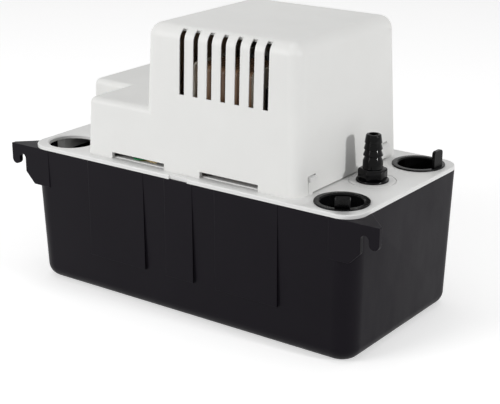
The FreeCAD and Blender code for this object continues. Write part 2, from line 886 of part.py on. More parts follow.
def make_volute_housing():
    """Volute housing: spiral wall, roof, socket for the column and outlet socket."""
    body = volute_slab(volute_wall, chamber_bottom, roof_top)
    lugs = [rod(x, y, chamber_bottom, roof_top, lug_radius) for x, y in lug_places()]
    socket_radius = column_radius + fit_gap
    collar = rod(motor_x, motor_y, roof_top, roof_top + column_socket_depth, socket_radius + volute_wall)
    nozzle = along_outlet(0, pipe_socket_start, pipe_bore_radius + volute_wall)
    socket = along_outlet(
        pipe_socket_start - 2, pipe_socket_depth + 2, pipe_radius + fit_gap + pipe_socket_wall
    )
    body = body.fuse(lugs + [collar, nozzle, socket])
    cuts = [
        volute_slab(0, chamber_bottom, roof_bottom),
        rod(motor_x, motor_y, roof_top, roof_top + column_socket_depth, socket_radius),
        rod(motor_x, motor_y, roof_bottom, roof_top, shaft_radius + 1.2),
        along_outlet(0, pipe_socket_start, pipe_bore_radius),
        along_outlet(pipe_socket_start, pipe_socket_depth, pipe_radius + fit_gap),
    ]
    for x, y in lug_places():
        cuts.append(rod(
            x, y, chamber_bottom, chamber_bottom + small_screw_length, small_screw_radius + screw_clearance
        ))
    return body.cut(cuts).removeSplitter()


def make_intake_cover():
    """Floor of the volute with the inlet eye, its strainer cup and four feet."""
    plate = volute_slab(volute_wall, plate_bottom, chamber_bottom)
    lugs = [rod(x, y, plate_bottom, chamber_bottom, lug_radius) for x, y in lug_places()]
    strainer_bottom = feet_bottom + 1.0
    strainer = rod(motor_x, motor_y, strainer_bottom, plate_bottom, strainer_radius)
    feet = []
    for step in range(4):
        angle = math.radians(45 + 90 * step)
        feet.append(rod(
            motor_x + foot_circle * math.cos(angle), motor_y + foot_circle * math.sin(angle),
            feet_bottom, plate_bottom, foot_radius,
        ))
    body = plate.fuse(lugs + feet + [strainer])
    inner = strainer_radius - strainer_wall
    cuts = [
        rod(motor_x, motor_y, plate_bottom, chamber_bottom, eye_radius),
        rod(motor_x, motor_y, strainer_bottom + 1.3, plate_bottom, inner),
    ]
    for x, y in lug_places():
        cuts.append(rod(x, y, plate_bottom, chamber_bottom, small_screw_radius + 2 * screw_clearance))
    for step in range(strainer_slot_count):
        slot = block(
            motor_x + inner - 1, motor_x + strainer_radius + 1,
            motor_y - strainer_slot_width / 2, motor_y + strainer_slot_width / 2,
            strainer_bottom + 1.3, plate_bottom - 0.8,
        )
        slot.rotate(
            FreeCAD.Vector(motor_x, motor_y, 0), FreeCAD.Vector(0, 0, 1),
            360 * step / strainer_slot_count,
        )
        cuts.append(slot)
    return body.cut(cuts).removeSplitter()


def make_pump_column():
    """Column that hangs the volute from the deck, with windows and four ribs."""
    top = deck_bottom
    flange = rod(motor_x, motor_y, top - column_flange_thickness, top, column_flange_radius)
    body = rod(motor_x, motor_y, roof_top, top, column_radius)
    ribs = []
    rib_low = top - column_flange_thickness - 16
    for step in range(4):
        rib = side_plate([
            (motor_x, rib_low),
            (motor_x + column_radius, rib_low),
            (motor_x + column_flange_radius - 1.5, top - column_flange_thickness),
            (motor_x, top - column_flange_thickness),
        ], motor_y - column_rib_thickness / 2, motor_y + column_rib_thickness / 2)
        rib.rotate(FreeCAD.Vector(motor_x, motor_y, 0), FreeCAD.Vector(0, 0, 1), 90 * step)
        ribs.append(rib)
    cuts = [rod(motor_x, motor_y, roof_top, top, column_bore_radius)]
    window_low = roof_top + column_socket_depth + 2
    for step in range(4):
        window = block(
            motor_x, motor_x + column_radius + 1,
            motor_y - column_window_width / 2, motor_y + column_window_width / 2,
            window_low, window_low + column_window_height,
        )
        window.rotate(
            FreeCAD.Vector(motor_x, motor_y, 0), FreeCAD.Vector(0, 0, 1), 45 + 90 * step
        )
        cuts.append(window)
    for x, y in flange_screw_places():
        cuts.append(rod(
            x, y, top - column_flange_thickness, top, small_screw_radius + 2 * screw_clearance
        ))
    return body.fuse([flange] + ribs).cut(cuts).removeSplitter()


def small_screw(x, y, head_z, direction):
    """Pan-head screw; direction 1 points its shank up from the head, -1 down."""
    if direction > 0:
        head = rod(x, y, head_z - small_screw_head_height, head_z, small_screw_head_radius)
        shank = rod(x, y, head_z, head_z + small_screw_length - 0.5, small_screw_radius)
        slot_z = head_z - small_screw_head_height
        slot = block(x - 3, x + 3, y - 0.4, y + 0.4, slot_z, slot_z + 0.7)
    else:
        head = rod(x, y, head_z, head_z + small_screw_head_height, small_screw_head_radius)
        shank = rod(x, y, head_z - small_screw_length / 2 - 1, head_z, small_screw_radius)
        slot_z = head_z + small_screw_head_height
        slot = block(x - 3, x + 3, y - 0.4, y + 0.4, slot_z - 0.7, slot_z)
    return head.fuse(shank).cut(slot).removeSplitter()


def make_impeller():
    """Open impeller: hub, top disc and curved vanes on the shaft's lower end."""
    low = chamber_bottom + impeller_gap
    high = roof_bottom - impeller_gap
    hub = rod(motor_x, motor_y, low, high, impeller_hub_radius)
    disc = rod(motor_x, motor_y, high - impeller_disc, high, impeller_radius)
    reach = rod(motor_x, motor_y, low, high, impeller_radius - 0.5)
    vanes = []
    for step in range(vane_count):
        ring = tube(
            motor_x + vane_curve_radius - 1.5, motor_y, low, high,
            vane_curve_radius + vane_thickness / 2, vane_curve_radius - vane_thickness / 2,
        )
        half = block(
            motor_x - impeller_radius, motor_x + 2 * impeller_radius,
            motor_y, motor_y + impeller_radius, low, high,
        )
        vane = ring.common(half).common(reach)
        vane.rotate(
            FreeCAD.Vector(motor_x, motor_y, 0), FreeCAD.Vector(0, 0, 1), 360 * step / vane_count
        )
        vanes.append(vane)
    return hub.fuse([disc] + vanes).cut(rod(motor_x, motor_y, low, high, shaft_radius)).removeSplitter()


def stadium(y_centre, z_low, z_high):
    """Flat strap across the motor with round ends."""
    half = post_spacing / 2
    bar = block(
        motor_x - half, motor_x + half, y_centre - strap_width / 2, y_centre + strap_width / 2,
        z_low, z_high,
    )
    ends = [rod(motor_x + side * half, y_centre, z_low, z_high, strap_width / 2) for side in (-1, 1)]
    return bar.fuse(ends)


def make_bearing_bracket(upper):
    """Die-cast bearing bracket: strap, two spacers and the bearing boss."""
    if upper:
        strap_low, strap_high = upper_strap_bottom, upper_strap_top
        spacer_low, spacer_high = core_top, upper_strap_bottom
        boss_low, boss_high = upper_strap_bottom - 4, upper_strap_top + 4
        seat_low, seat_high = boss_low, boss_high - bearing_ledge
    else:
        strap_low, strap_high = strap_bottom, strap_bottom + strap_thickness
        spacer_low, spacer_high = strap_bottom + strap_thickness, core_bottom
        boss_low, boss_high = strap_low - 4, strap_high + 4
        seat_low, seat_high = boss_low + bearing_ledge, boss_high
    strap = stadium(motor_y, strap_low, strap_high)
    spacers = []
    for x, y in post_places():
        spacers.append(rod(x, y, spacer_low, spacer_high, spacer_radius))
    boss = rod(motor_x, motor_y, boss_low, boss_high, bearing_boss_radius)
    cuts = [
        rod(motor_x, motor_y, seat_low, seat_high, bearing_radius + running_clearance),
        rod(motor_x, motor_y, boss_low, boss_high, shaft_radius + 1),
    ]
    for x, y in post_places():
        low = min(strap_low, spacer_low)
        high = max(strap_high, spacer_high)
        cuts.append(rod(x, y, low, high, motor_screw_radius + screw_clearance))
    return strap.fuse(spacers + [boss]).cut(cuts).removeSplitter()


def make_bearing(upper):
    """Sintered bearing bush, against the ledge of its bracket."""
    if upper:
        high = upper_strap_top + 4 - bearing_ledge
        low = high - bearing_height
    else:
        low = strap_bottom - 4 + bearing_ledge
        high = low + bearing_height
    return tube(motor_x, motor_y, low, high, bearing_radius, shaft_radius + running_clearance)


def shading_ring(angle):
    """Copper shading loop round a part of one pole, through two slots in the core."""
    bar = shading_bar
    half = shading_length / 2
    outer = block(
        motor_x + shading_radius - bar / 2, motor_x + shading_radius + bar / 2,
        motor_y - half, motor_y + half, core_bottom - bar - 0.1, core_top + bar + 0.1,
    )
    inner = block(
        motor_x + shading_radius - bar, motor_x + shading_radius + bar,
        motor_y - half + bar, motor_y + half - bar, core_bottom - 0.1, core_top + 0.1,
    )
    ring = outer.cut(inner)
    ring.rotate(FreeCAD.Vector(motor_x, motor_y, 0), FreeCAD.Vector(0, 0, 1), angle)
    return ring


def shading_slots(angle):
    """The two slots in the core that a shading loop passes through."""
    slots = []
    half = shading_length / 2
    gap = 0.15
    for side in (-1, 1):
        centre = motor_y + side * (half - shading_bar / 2)
        slot = block(
            motor_x + shading_radius - shading_bar / 2 - gap,
            motor_x + shading_radius + shading_bar / 2 + gap,
            centre - shading_bar / 2 - gap, centre + shading_bar / 2 + gap,
            core_bottom, core_top,
        )
        slot.rotate(FreeCAD.Vector(motor_x, motor_y, 0), FreeCAD.Vector(0, 0, 1), angle)
        slots.append(slot)
    return slots


def make_stator_core():
    """Laminated C-shaped core round the rotor, open at the front for the coil leg."""
    left = motor_x - core_half_width
    right = motor_x + core_half_width
    body = block(left, right, core_front_y, motor_y + core_back, core_bottom, core_top)
    body = body.makeFillet(2.0, [e for e in body.Edges if e.BoundBox.ZLength > core_height - 0.01])
    window = block(
        left + core_leg_width, right - core_leg_width, core_front_y - 1, motor_y - core_front,
        core_bottom, core_top,
    )
    cuts = [window, rod(motor_x, motor_y, core_bottom, core_top, rotor_radius + air_gap)]
    for x, y in post_places():
        cuts.append(rod(x, y, core_bottom, core_top, motor_screw_radius + screw_clearance))
    for angle in (40, 220):
        cuts = cuts + shading_slots(angle)
    return body.cut(cuts).removeSplitter()


def make_coil_core():
    """Straight laminated leg through the coil, pressed between the core's side legs."""
    half = core_half_width - core_leg_width
    return block(
        motor_x - half, motor_x + half, core_front_y, core_front_y + coil_leg_depth,
        core_bottom, core_top,
    )


def coil_block(half_length, margin, radius):
    """Round-cornered block about the coil leg, used for the bobbin and the winding."""
    half_y = coil_leg_depth / 2 + margin
    half_z = core_height / 2 + margin
    body = block(
        motor_x - half_length, motor_x + half_length, coil_y - half_y, coil_y + half_y,
        core_middle - half_z, core_middle + half_z,
    )
    if radius:
        body = body.makeFillet(
            radius, [e for e in body.Edges if e.BoundBox.XLength > 2 * half_length - 0.01]
        )
    return body


def make_coil_bobbin():
    """Black moulded bobbin with a flange at each end."""
    flange_margin = fit_gap + bobbin_wall + winding_depth + bobbin_flange_lip
    body = coil_block(coil_half_length, fit_gap + bobbin_wall, 0)
    flanges = coil_block(coil_half_length, flange_margin, winding_corner_radius)
    flanges = flanges.cut(coil_block(coil_half_length - bobbin_flange, flange_margin + 1, 0))
    return body.fuse(flanges).cut(coil_block(coil_half_length, fit_gap, 0)).removeSplitter()


def make_coil_winding():
    """Wound coil under its tan wrap, between the bobbin's flanges."""
    half = coil_half_length - bobbin_flange
    outer = coil_block(half, fit_gap + bobbin_wall + winding_depth, winding_corner_radius)
    return outer.cut(coil_block(half, fit_gap + bobbin_wall, 0))


def make_motor_screws():
    """Two long screws through both brackets and the core into the deck posts."""
    screws = []
    for x, y in post_places():
        head = rod(
            x, y, upper_strap_top, upper_strap_top + motor_screw_head_height, motor_screw_head_radius
        )
        slot = block(
            x - motor_screw_head_radius, x + motor_screw_head_radius, y - 0.5, y + 0.5,
            upper_strap_top + motor_screw_head_height - 1, upper_strap_top + motor_screw_head_height,
        )
        shank = rod(x, y, strap_bottom - motor_screw_grip, upper_strap_top, motor_screw_radius)
        screws.append(head.fuse(shank).cut(slot).removeSplitter())
    return Part.makeCompound(screws)


def make_motor_shaft():
    low = chamber_bottom + impeller_gap
    shaft = rod(motor_x, motor_y, low, deck_top + shaft_top_rise, shaft_radius)
    ends = edges_at_height(shaft, low) + edges_at_height(shaft, deck_top + shaft_top_rise)
    return shaft.makeChamfer(0.4, ends)


def make_motor_rotor():
    """Squirrel-cage rotor with its end rings."""
    low = core_bottom - rotor_overhang
    high = core_top + rotor_overhang
    body = rod(motor_x, motor_y, core_bottom, core_top, rotor_radius)
    rings = [
        tube(motor_x, motor_y, low, core_bottom, rotor_radius - 1, rotor_radius - 6),
        tube(motor_x, motor_y, core_top, high, rotor_radius - 1, rotor_radius - 6),
    ]
    return body.fuse(rings).cut(rod(motor_x, motor_y, low, high, shaft_radius)).removeSplitter()


def make_cooling_fan():
    """Cooling fan on the top of the shaft: hub and pitched blades."""
    low = deck_top + fan_rise
    middle = low + fan_height / 2
    hub = rod(motor_x, motor_y, low, low + fan_height, fan_hub_radius)
    reach = rod(motor_x, motor_y, low, low + fan_height, fan_radius)
    blades = []
    for step in range(fan_blade_count):
        blade = block(
            motor_x + fan_hub_radius - 2, motor_x + fan_radius + 2,
            motor_y - fan_blade_chord / 2, motor_y + fan_blade_chord / 2,
            middle - fan_blade_thickness / 2, middle + fan_blade_thickness / 2,
        )
        blade.rotate(
            FreeCAD.Vector(motor_x, motor_y, middle), FreeCAD.Vector(1, 0, 0), fan_blade_pitch
        )
        blade.rotate(
            FreeCAD.Vector(motor_x, motor_y, 0), FreeCAD.Vector(0, 0, 1), 360 * step / fan_blade_count
        )
        blades.append(blade.common(reach))
    fan = hub.fuse(blades).cut(rod(motor_x, motor_y, low, low + fan_height, shaft_radius))
    return fan.removeSplitter()


def make_shaft_slinger():
    """Rubber slinger that keeps water from climbing the shaft."""
    low = deck_top + slinger_rise
    return tube(motor_x, motor_y, low, low + slinger_thickness, slinger_radius, shaft_radius)


def make_float_arm():
    """Float arm: hub on the pin, beam down to the float and tongue up to the switches."""
    y_low = pivot_y - hub_length / 2
    y_high = pivot_y + hub_length / 2
    hub = cross_rod(pivot_x, pivot_z, y_low, y_high, hub_radius)
    lean = math.radians(tongue_lean)
    side = tongue_thickness / 2
    foot = side / math.cos(lean)
    top_x = pivot_x - tongue_height * math.tan(lean)
    tongue = side_plate([
        (pivot_x - foot, pivot_z),
        (pivot_x + foot, pivot_z),
        (top_x + foot, pivot_z + tongue_height),
        (top_x - foot, pivot_z + tongue_height),
    ], pivot_y - tongue_width / 2, pivot_y + tongue_width / 2)
    arm_low = pivot_y - arm_width / 2
    arm_high = pivot_y + arm_width / 2
    pad_right = float_x + float_pad_length / 2
    beam = side_plate([
        (pivot_x, pivot_z + arm_thickness / 2),
        (pivot_x, pivot_z - arm_thickness),
        (pad_right + arm_thickness, float_top),
        (float_x - float_pad_length / 2, float_top),
        (float_x - float_pad_length / 2, float_top + float_pad_thickness),
        (pad_right - arm_thickness, float_top + float_pad_thickness),
        (pad_right - arm_thickness / 2, float_top + float_pad_thickness + arm_thickness),
    ], arm_low, arm_high)
    pad = block(
        float_x - float_pad_length / 2, pad_right,
        pivot_y - float_pad_width / 2, pivot_y + float_pad_width / 2,
        float_top, float_top + float_pad_thickness,
    )
    cuts = [cross_rod(pivot_x, pivot_z, y_low, y_high, pivot_pin_radius + running_clearance)]
    for x, y in float_screw_places():
        cuts.append(rod(
            x, y, float_top, float_top + float_pad_thickness, small_screw_radius + screw_clearance
        ))
    return hub.fuse([tongue, beam, pad]).cut(cuts).removeSplitter()


def float_screw_places():
    half = float_pad_width / 2 - small_screw_head_radius / 2 - 0.4
    return [(float_x, pivot_y - half), (float_x, pivot_y + half)]


def make_float():
    """Closed foam float with round upright corners."""
    body = block(
        float_x - float_length / 2, float_x + float_length / 2,
        pivot_y - float_width / 2, pivot_y + float_width / 2,
        float_top - float_height, float_top,
    )
    uprights = [e for e in body.Edges if e.BoundBox.ZLength > float_height - 0.01]
    body = body.makeFillet(float_corner_radius, uprights)
    body = body.makeFillet(1.5, edges_at_height(body, float_top - float_height))
    cuts = []
    for x, y in float_screw_places():
        cuts.append(rod(
            x, y, float_top - small_screw_length / 2, float_top, small_screw_radius + screw_clearance
        ))
    return body.cut(cuts)


def make_pivot_pin():
    """Stainless pin through the deck's ears and the arm's hub."""
    reach = hub_length / 2 + ear_side_gap + deck_ear_thickness + 0.8
    return cross_rod(pivot_x, pivot_z, pivot_y - reach, pivot_y + reach, pivot_pin_radius)


# The left face of the tongue at the height where it meets the switch levers
lever_z = deck_top + switch_base_rise + lever_rise
contact_z = pivot_z + tongue_height
contact_x = (
    pivot_x
    - (contact_z - pivot_z) * math.tan(math.radians(tongue_lean))
    - tongue_thickness / 2 / math.cos(math.radians(tongue_lean))
)
lever_x = (
    contact_x - contact_gap - lever_blade
    - (contact_z - lever_z) * math.tan(math.radians(lever_lean))
)
switch_face_x = lever_x - lever_roll_radius - 0.2
switch_left_x = switch_face_x - switch_depth
switch_bottom = deck_top + switch_base_rise


def switch_centre(index):
    """Middle of the run switch (0) or the safety switch (1) along Y."""
    return pivot_y + (index - 0.5) * (switch_wide + switch_spacing)


def switch_screw_spots():
    return [
        (switch_left_x + switch_screw_inset, switch_bottom + switch_screw_inset),
        (switch_face_x - switch_screw_inset - 1, switch_bottom + switch_tall - switch_screw_inset),
    ]


def bracket_plate_y():
    """Front face of the bracket plate, just behind the safety switch."""
    return switch_centre(1) + switch_wide / 2 + 0.1


def bracket_foot_place():
    return (
        (switch_left_x + switch_face_x) / 2,
        bracket_plate_y() + bracket_thickness + bracket_foot / 2,
    )


def make_switch_body(index):
    """Microswitch housing with two ears and the hinge pin of its lever."""
    y = switch_centre(index)
    y_low = y - switch_wide / 2
    y_high = y + switch_wide / 2
    body = block(
        switch_left_x, switch_face_x, y_low, y_high, switch_bottom, switch_bottom + switch_tall
    )
    seam = block(
        switch_left_x, switch_left_x + 0.4, y - 0.3, y + 0.3, switch_bottom, switch_bottom + switch_tall
    )
    ear_inner = lever_width / 2 + 0.2
    ears = []
    for side in (-1, 1):
        low, high = sorted((y + side * ear_inner, y + side * (ear_inner + 1.2)))
        ears.append(block(
            switch_face_x - 1, lever_x + lever_pin_radius + 0.5, low, high,
            lever_z - 1.4, lever_z + 1.4,
        ))
    pin = cross_rod(lever_x, lever_z, y - ear_inner - 0.5, y + ear_inner + 0.5, lever_pin_radius)
    plunger_z = switch_bottom + plunger_rise
    hole = Part.makeCylinder(
        plunger_radius + plunger_clearance, 4,
        FreeCAD.Vector(switch_face_x - 4, y, plunger_z), FreeCAD.Vector(1, 0, 0),
    )
    cuts = [seam, hole]
    for x, z in switch_screw_spots():
        cuts.append(cross_rod(x, z, y_low, y_high, switch_screw_hole_radius))
    return body.fuse(ears + [pin]).cut(cuts).removeSplitter()


def make_switch_lever(index):
    """Spring-steel lever rolled round its pin."""
    y = switch_centre(index)
    y_low = y - lever_width / 2
    y_high = y + lever_width / 2
    slope = math.tan(math.radians(lever_lean))
    roll = cross_rod(lever_x, lever_z, y_low, y_high, lever_roll_radius)
    rise = lever_length
    blade = side_plate([
        (lever_x, lever_z),
        (lever_x + lever_blade, lever_z),
        (lever_x + lever_blade + rise * slope, lever_z + rise),
        (lever_x + rise * slope, lever_z + rise),
    ], y_low, y_high)
    hole = cross_rod(lever_x, lever_z, y_low, y_high, lever_pin_radius + running_clearance)
    return roll.fuse(blade).cut(hole).removeSplitter()


def plunger_nose_x():
    """Where the plunger's nose rests, just short of the lever."""
    slope = math.tan(math.radians(lever_lean))
    return lever_x + (switch_bottom + plunger_rise - lever_z - plunger_radius) * slope - 0.15


def make_switch_plunger(index):
    """Small plunger between the lever and the switch's contacts."""
    z = switch_bottom + plunger_rise
    back = switch_face_x - 3.5
    return Part.makeCylinder(
        plunger_radius, plunger_nose_x() - back,
        FreeCAD.Vector(back, switch_centre(index), z), FreeCAD.Vector(1, 0, 0),
    )


def make_switch_bracket():
    """Bent steel bracket that stands on the deck and holds both switches."""
    plate_low = bracket_plate_y()
    plate_high = plate_low + bracket_thickness
    left = switch_left_x
    right = switch_face_x - 0.5
    plate = block(left, right, plate_low, plate_high, deck_top, switch_bottom + switch_tall)
    foot = block(left, right, plate_low, plate_high + bracket_foot, deck_top, deck_top + bracket_thickness)
    cuts = []
    for x, z in switch_screw_spots():
        cuts.append(cross_rod(x, z, plate_low, plate_high, switch_screw_radius + screw_clearance))
    x, y = bracket_foot_place()
    cuts.append(rod(x, y, deck_top, deck_top + bracket_thickness, small_screw_radius + screw_clearance))
    return plate.fuse(foot).cut(cuts).removeSplitter()


def make_switch_screws():
    """Two screws through both switches into the bracket."""
    screws = []
    front = switch_centre(0) - switch_wide / 2
    back = bracket_plate_y() + bracket_thickness + 1.0
    for x, z in switch_screw_spots():
        head = cross_rod(x, z, front - 1.8, front, 2.6)
        slot = block(x - 3, x + 3, front - 1.8, front - 1.1, z - 0.35, z + 0.35)
        shank = cross_rod(x, z, front, back, switch_screw_radius)
        screws.append(head.fuse(shank).cut(slot).removeSplitter())
    return Part.makeCompound(screws)


def make_switch_terminals():
    """Blade terminals out of the left side of each switch."""
    blades = []
    for index in (0, 1):
        y = switch_centre(index)
        for rise in (0.2, 0.5, 0.8):
            z = switch_bottom + rise * switch_tall
            blades.append(block(
                switch_left_x - terminal_length, switch_left_x,
                y - terminal_width / 2, y + terminal_width / 2,
                z - terminal_thickness / 2, z + terminal_thickness / 2,
            ))
    return Part.makeCompound(blades)


def make_earth_terminal():
    """Ring tag under the earth screw."""
    ring = tube(
        earth_x, earth_y, deck_top, deck_top + earth_tag_thickness, earth_head_radius + 0.8,
        earth_screw_radius + screw_clearance,
    )
    tail = block(
        earth_x + earth_head_radius, earth_x + earth_head_radius + 9, earth_y - 1.6, earth_y + 1.6,
        deck_top, deck_top + earth_tag_thickness,
    )
    return ring.fuse(tail).removeSplitter()


def make_earth_screw():
    """Green hexagon-head earth screw in the deck."""
    low = deck_top + earth_tag_thickness
    points = []
    for step in range(6):
        angle = math.radians(60 * step)
        points.append(FreeCAD.Vector(
            earth_x + earth_head_radius * math.cos(angle),
            earth_y + earth_head_radius * math.sin(angle), low,
        ))
    head = Part.Face(Part.makePolygon(points + points[:1])).extrude(
        FreeCAD.Vector(0, 0, earth_head_height)
    )
    shank = rod(earth_x, earth_y, deck_bottom - 4.5, low, earth_screw_radius)
    return head.fuse(shank).removeSplitter()


def make_column_screws():
    """Four screws up through the column's flange into the deck."""
    head_z = deck_bottom - column_flange_thickness
    return Part.makeCompound([small_screw(x, y, head_z, 1) for x, y in flange_screw_places()])


def make_volute_screws():
    """Four screws up through the intake cover into the volute housing."""
    return Part.makeCompound([small_screw(x, y, plate_bottom, 1) for x, y in lug_places()])


def make_float_screws():
    """Two screws through the arm's pad into the float."""
    top = float_top + float_pad_thickness
    return Part.makeCompound([small_screw(x, y, top, -1) for x, y in float_screw_places()])


def make_bracket_screw():
    x, y = bracket_foot_place()
    return small_screw(x, y, deck_top + bracket_thickness, -1)


def main():
    save("tank", make_tank())
    save("deck", make_deck())
    save("motor_cover", make_motor_cover())
    save("front_inlet_plug", make_plug(inlet_x, -inlet_y, 0, -1))
    save("rear_inlet_plug", make_plug(inlet_x, inlet_y, 1, 0))
    save("check_valve_body", make_valve_body())
    save("valve_seat", make_valve_seat())
    save("check_poppet", make_check_poppet())
    save("discharge_pipe", make_discharge_pipe())
    save("volute_housing", make_volute_housing())
    save("intake_cover", make_intake_cover())
    save("pump_column", make_pump_column())
    save("impeller", make_impeller())
    save("lower_bearing_bracket", make_bearing_bracket(False))
    save("upper_bearing_bracket", make_bearing_bracket(True))
    save("lower_bearing", make_bearing(False))
    save("upper_bearing", make_bearing(True))
    save("stator_core", make_stator_core())
    save("coil_core", make_coil_core())
    save("coil_bobbin", make_coil_bobbin())
    save("coil_winding", make_coil_winding())
    save("shading_rings", Part.makeCompound([shading_ring(40), shading_ring(220)]))
    save("motor_screws", make_motor_screws())
    save("motor_shaft", make_motor_shaft())
    save("motor_rotor", make_motor_rotor())
    save("cooling_fan", make_cooling_fan())
    save("shaft_slinger", make_shaft_slinger())
    save("float_arm", make_float_arm())
    save("float", make_float())
    save("float_screws", make_float_screws())
    save("pivot_pin", make_pivot_pin())
    for index, name in enumerate(("run_switch", "safety_switch")):
        save(name, make_switch_body(index))
        save(name + "_lever", make_switch_lever(index))
        save(name + "_plunger", make_switch_plunger(index))
    save("switch_bracket", make_switch_bracket())
    save("switch_screws", make_switch_screws())
    save("switch_terminals", make_switch_terminals())
    save("bracket_screw", make_bracket_screw())
    save("earth_terminal", make_earth_terminal())
    save("earth_screw", make_earth_screw())
    save("column_screws", make_column_screws())
    save("volute_screws", make_volute_screws())


main()
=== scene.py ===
import json
import math
from contextlib import contextmanager
import bmesh
import bpy
from mathutils import Matrix, Vector
from mathutils.bvhtree import BVHTree

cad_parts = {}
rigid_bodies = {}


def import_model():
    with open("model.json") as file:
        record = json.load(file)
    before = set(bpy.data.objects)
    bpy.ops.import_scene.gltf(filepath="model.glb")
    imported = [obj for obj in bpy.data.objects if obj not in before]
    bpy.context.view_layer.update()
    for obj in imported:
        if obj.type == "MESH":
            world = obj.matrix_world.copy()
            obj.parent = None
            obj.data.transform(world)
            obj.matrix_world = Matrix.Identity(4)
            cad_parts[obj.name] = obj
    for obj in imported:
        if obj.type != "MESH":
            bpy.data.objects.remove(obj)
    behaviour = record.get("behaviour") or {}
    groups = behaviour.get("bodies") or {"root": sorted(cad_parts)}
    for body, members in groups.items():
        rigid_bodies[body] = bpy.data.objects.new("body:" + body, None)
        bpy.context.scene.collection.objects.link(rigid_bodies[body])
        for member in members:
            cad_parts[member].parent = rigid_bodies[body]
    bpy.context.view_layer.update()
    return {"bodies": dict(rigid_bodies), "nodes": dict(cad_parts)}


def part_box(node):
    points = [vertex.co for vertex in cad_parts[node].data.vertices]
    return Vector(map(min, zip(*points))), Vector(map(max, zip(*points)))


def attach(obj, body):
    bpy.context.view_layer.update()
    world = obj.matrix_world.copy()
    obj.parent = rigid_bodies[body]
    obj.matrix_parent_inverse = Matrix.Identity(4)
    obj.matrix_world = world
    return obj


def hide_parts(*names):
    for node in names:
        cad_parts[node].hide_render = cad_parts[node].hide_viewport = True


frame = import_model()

scene = bpy.context.scene
near = 0.0001  # closer than this counts as the same height
creaseAngle = 32  # degrees, where moulded faces part
nodes = frame["nodes"]
bodies = {}
for bodyName, empty in frame["bodies"].items():
    for child in empty.children:
        bodies[child.name] = bodyName
print("frame loaded:", len(nodes), "nodes")


def startMaterial(name):
    mat = bpy.data.materials.new(name)
    mat.use_nodes = True
    tree = mat.node_tree
    shader = tree.nodes["Principled BSDF"]
    return mat, tree, shader


def put(tree, kind, **values):
    node = tree.nodes.new(kind)
    for key, value in values.items():
        if key in node.inputs:
            node.inputs[key].default_value = value
        else:
            setattr(node, key, value)
    return node


def objectNoise(tree, scale, detail, rough, stretch=(1, 1, 1)):
    # noise on Object coordinates, stretched per axis
    coords = put(tree, "ShaderNodeTexCoord")
    mapping = put(tree, "ShaderNodeMapping")
    mapping.inputs["Scale"].default_value = stretch
    noise = put(tree, "ShaderNodeTexNoise", Scale=scale, Detail=detail, Roughness=rough)
    tree.links.new(coords.outputs["Object"], mapping.inputs["Vector"])
    tree.links.new(mapping.outputs["Vector"], noise.inputs["Vector"])
    return noise.outputs["Fac"]


def spread(tree, source, low, high):
    # the middle of the noise stretched from low to high
    node = put(tree, "ShaderNodeMapRange")
    node.inputs["From Min"].default_value = 0.3
    node.inputs["From Max"].default_value = 0.7
    node.inputs["To Min"].default_value = low
    node.inputs["To Max"].default_value = high
    tree.links.new(source, node.inputs["Value"])
    return node.outputs["Result"]


def tinted(tree, source, first, second):
    node = put(tree, "ShaderNodeMix", data_type="RGBA")
    node.inputs["A"].default_value = (*first, 1)
    node.inputs["B"].default_value = (*second, 1)
    tree.links.new(source, node.inputs["Factor"])
    return node.outputs["Result"]


def linear(screenColour):
    # screen colour 0-255 to Blender's linear colour
    out = []
    for value in screenColour:
        v = value / 255
        out.append(v / 12.92 if v <= 0.04045 else ((v + 0.055) / 1.055) ** 2.4)
    return tuple(out)


def coloured(tree, shader, source, colour, shade):
    mixed = tinted(tree, spread(tree, source, 0, 1), linear(colour), linear(shade))
    tree.links.new(mixed, shader.inputs["Base Color"])


def roughened(tree, shader, source, low, high):
    tree.links.new(spread(tree, source, low, high), shader.inputs["Roughness"])


def bumped(tree, shader, height, strength, distance=0.0002):
    node = put(tree, "ShaderNodeBump", Strength=strength, Distance=distance)
    tree.links.new(height, node.inputs["Height"])
    tree.links.new(node.outputs["Normal"], shader.inputs["Normal"])


def mouldedPlastic(name, colour, shade, rough, grain=0.05, grainScale=2600, gloss=0.5):
    # colour drifts slowly over the moulding, a fine grain breaks the highlight
    mat, tree, shader = startMaterial(name)
    coloured(tree, shader, objectNoise(tree, 14.0, 4.0, 0.55), colour, shade)
    wipe = objectNoise(tree, 55.0, 5.0, 0.6, (1, 1, 0.4))
    roughened(tree, shader, wipe, rough - 0.05, rough + 0.07)
    bumped(tree, shader, objectNoise(tree, grainScale, 2.0, 0.6), grain)
    shader.inputs["Specular IOR Level"].default_value = gloss
    return mat


def workedMetal(name, colour, shade, rough, stretch=(1, 1, 30), scale=180, bump=0.04, metallic=1.0):
    # lines of working along z colour and bump the metal, smears change its roughness
    mat, tree, shader = startMaterial(name)
    lines = objectNoise(tree, scale, 4.0, 0.6, stretch)
    coloured(tree, shader, lines, colour, shade)
    roughened(tree, shader, objectNoise(tree, 90.0, 4.0, 0.6), rough - 0.06, rough + 0.1)
    bumped(tree, shader, lines, bump)
    shader.inputs["Metallic"].default_value = metallic
    return mat


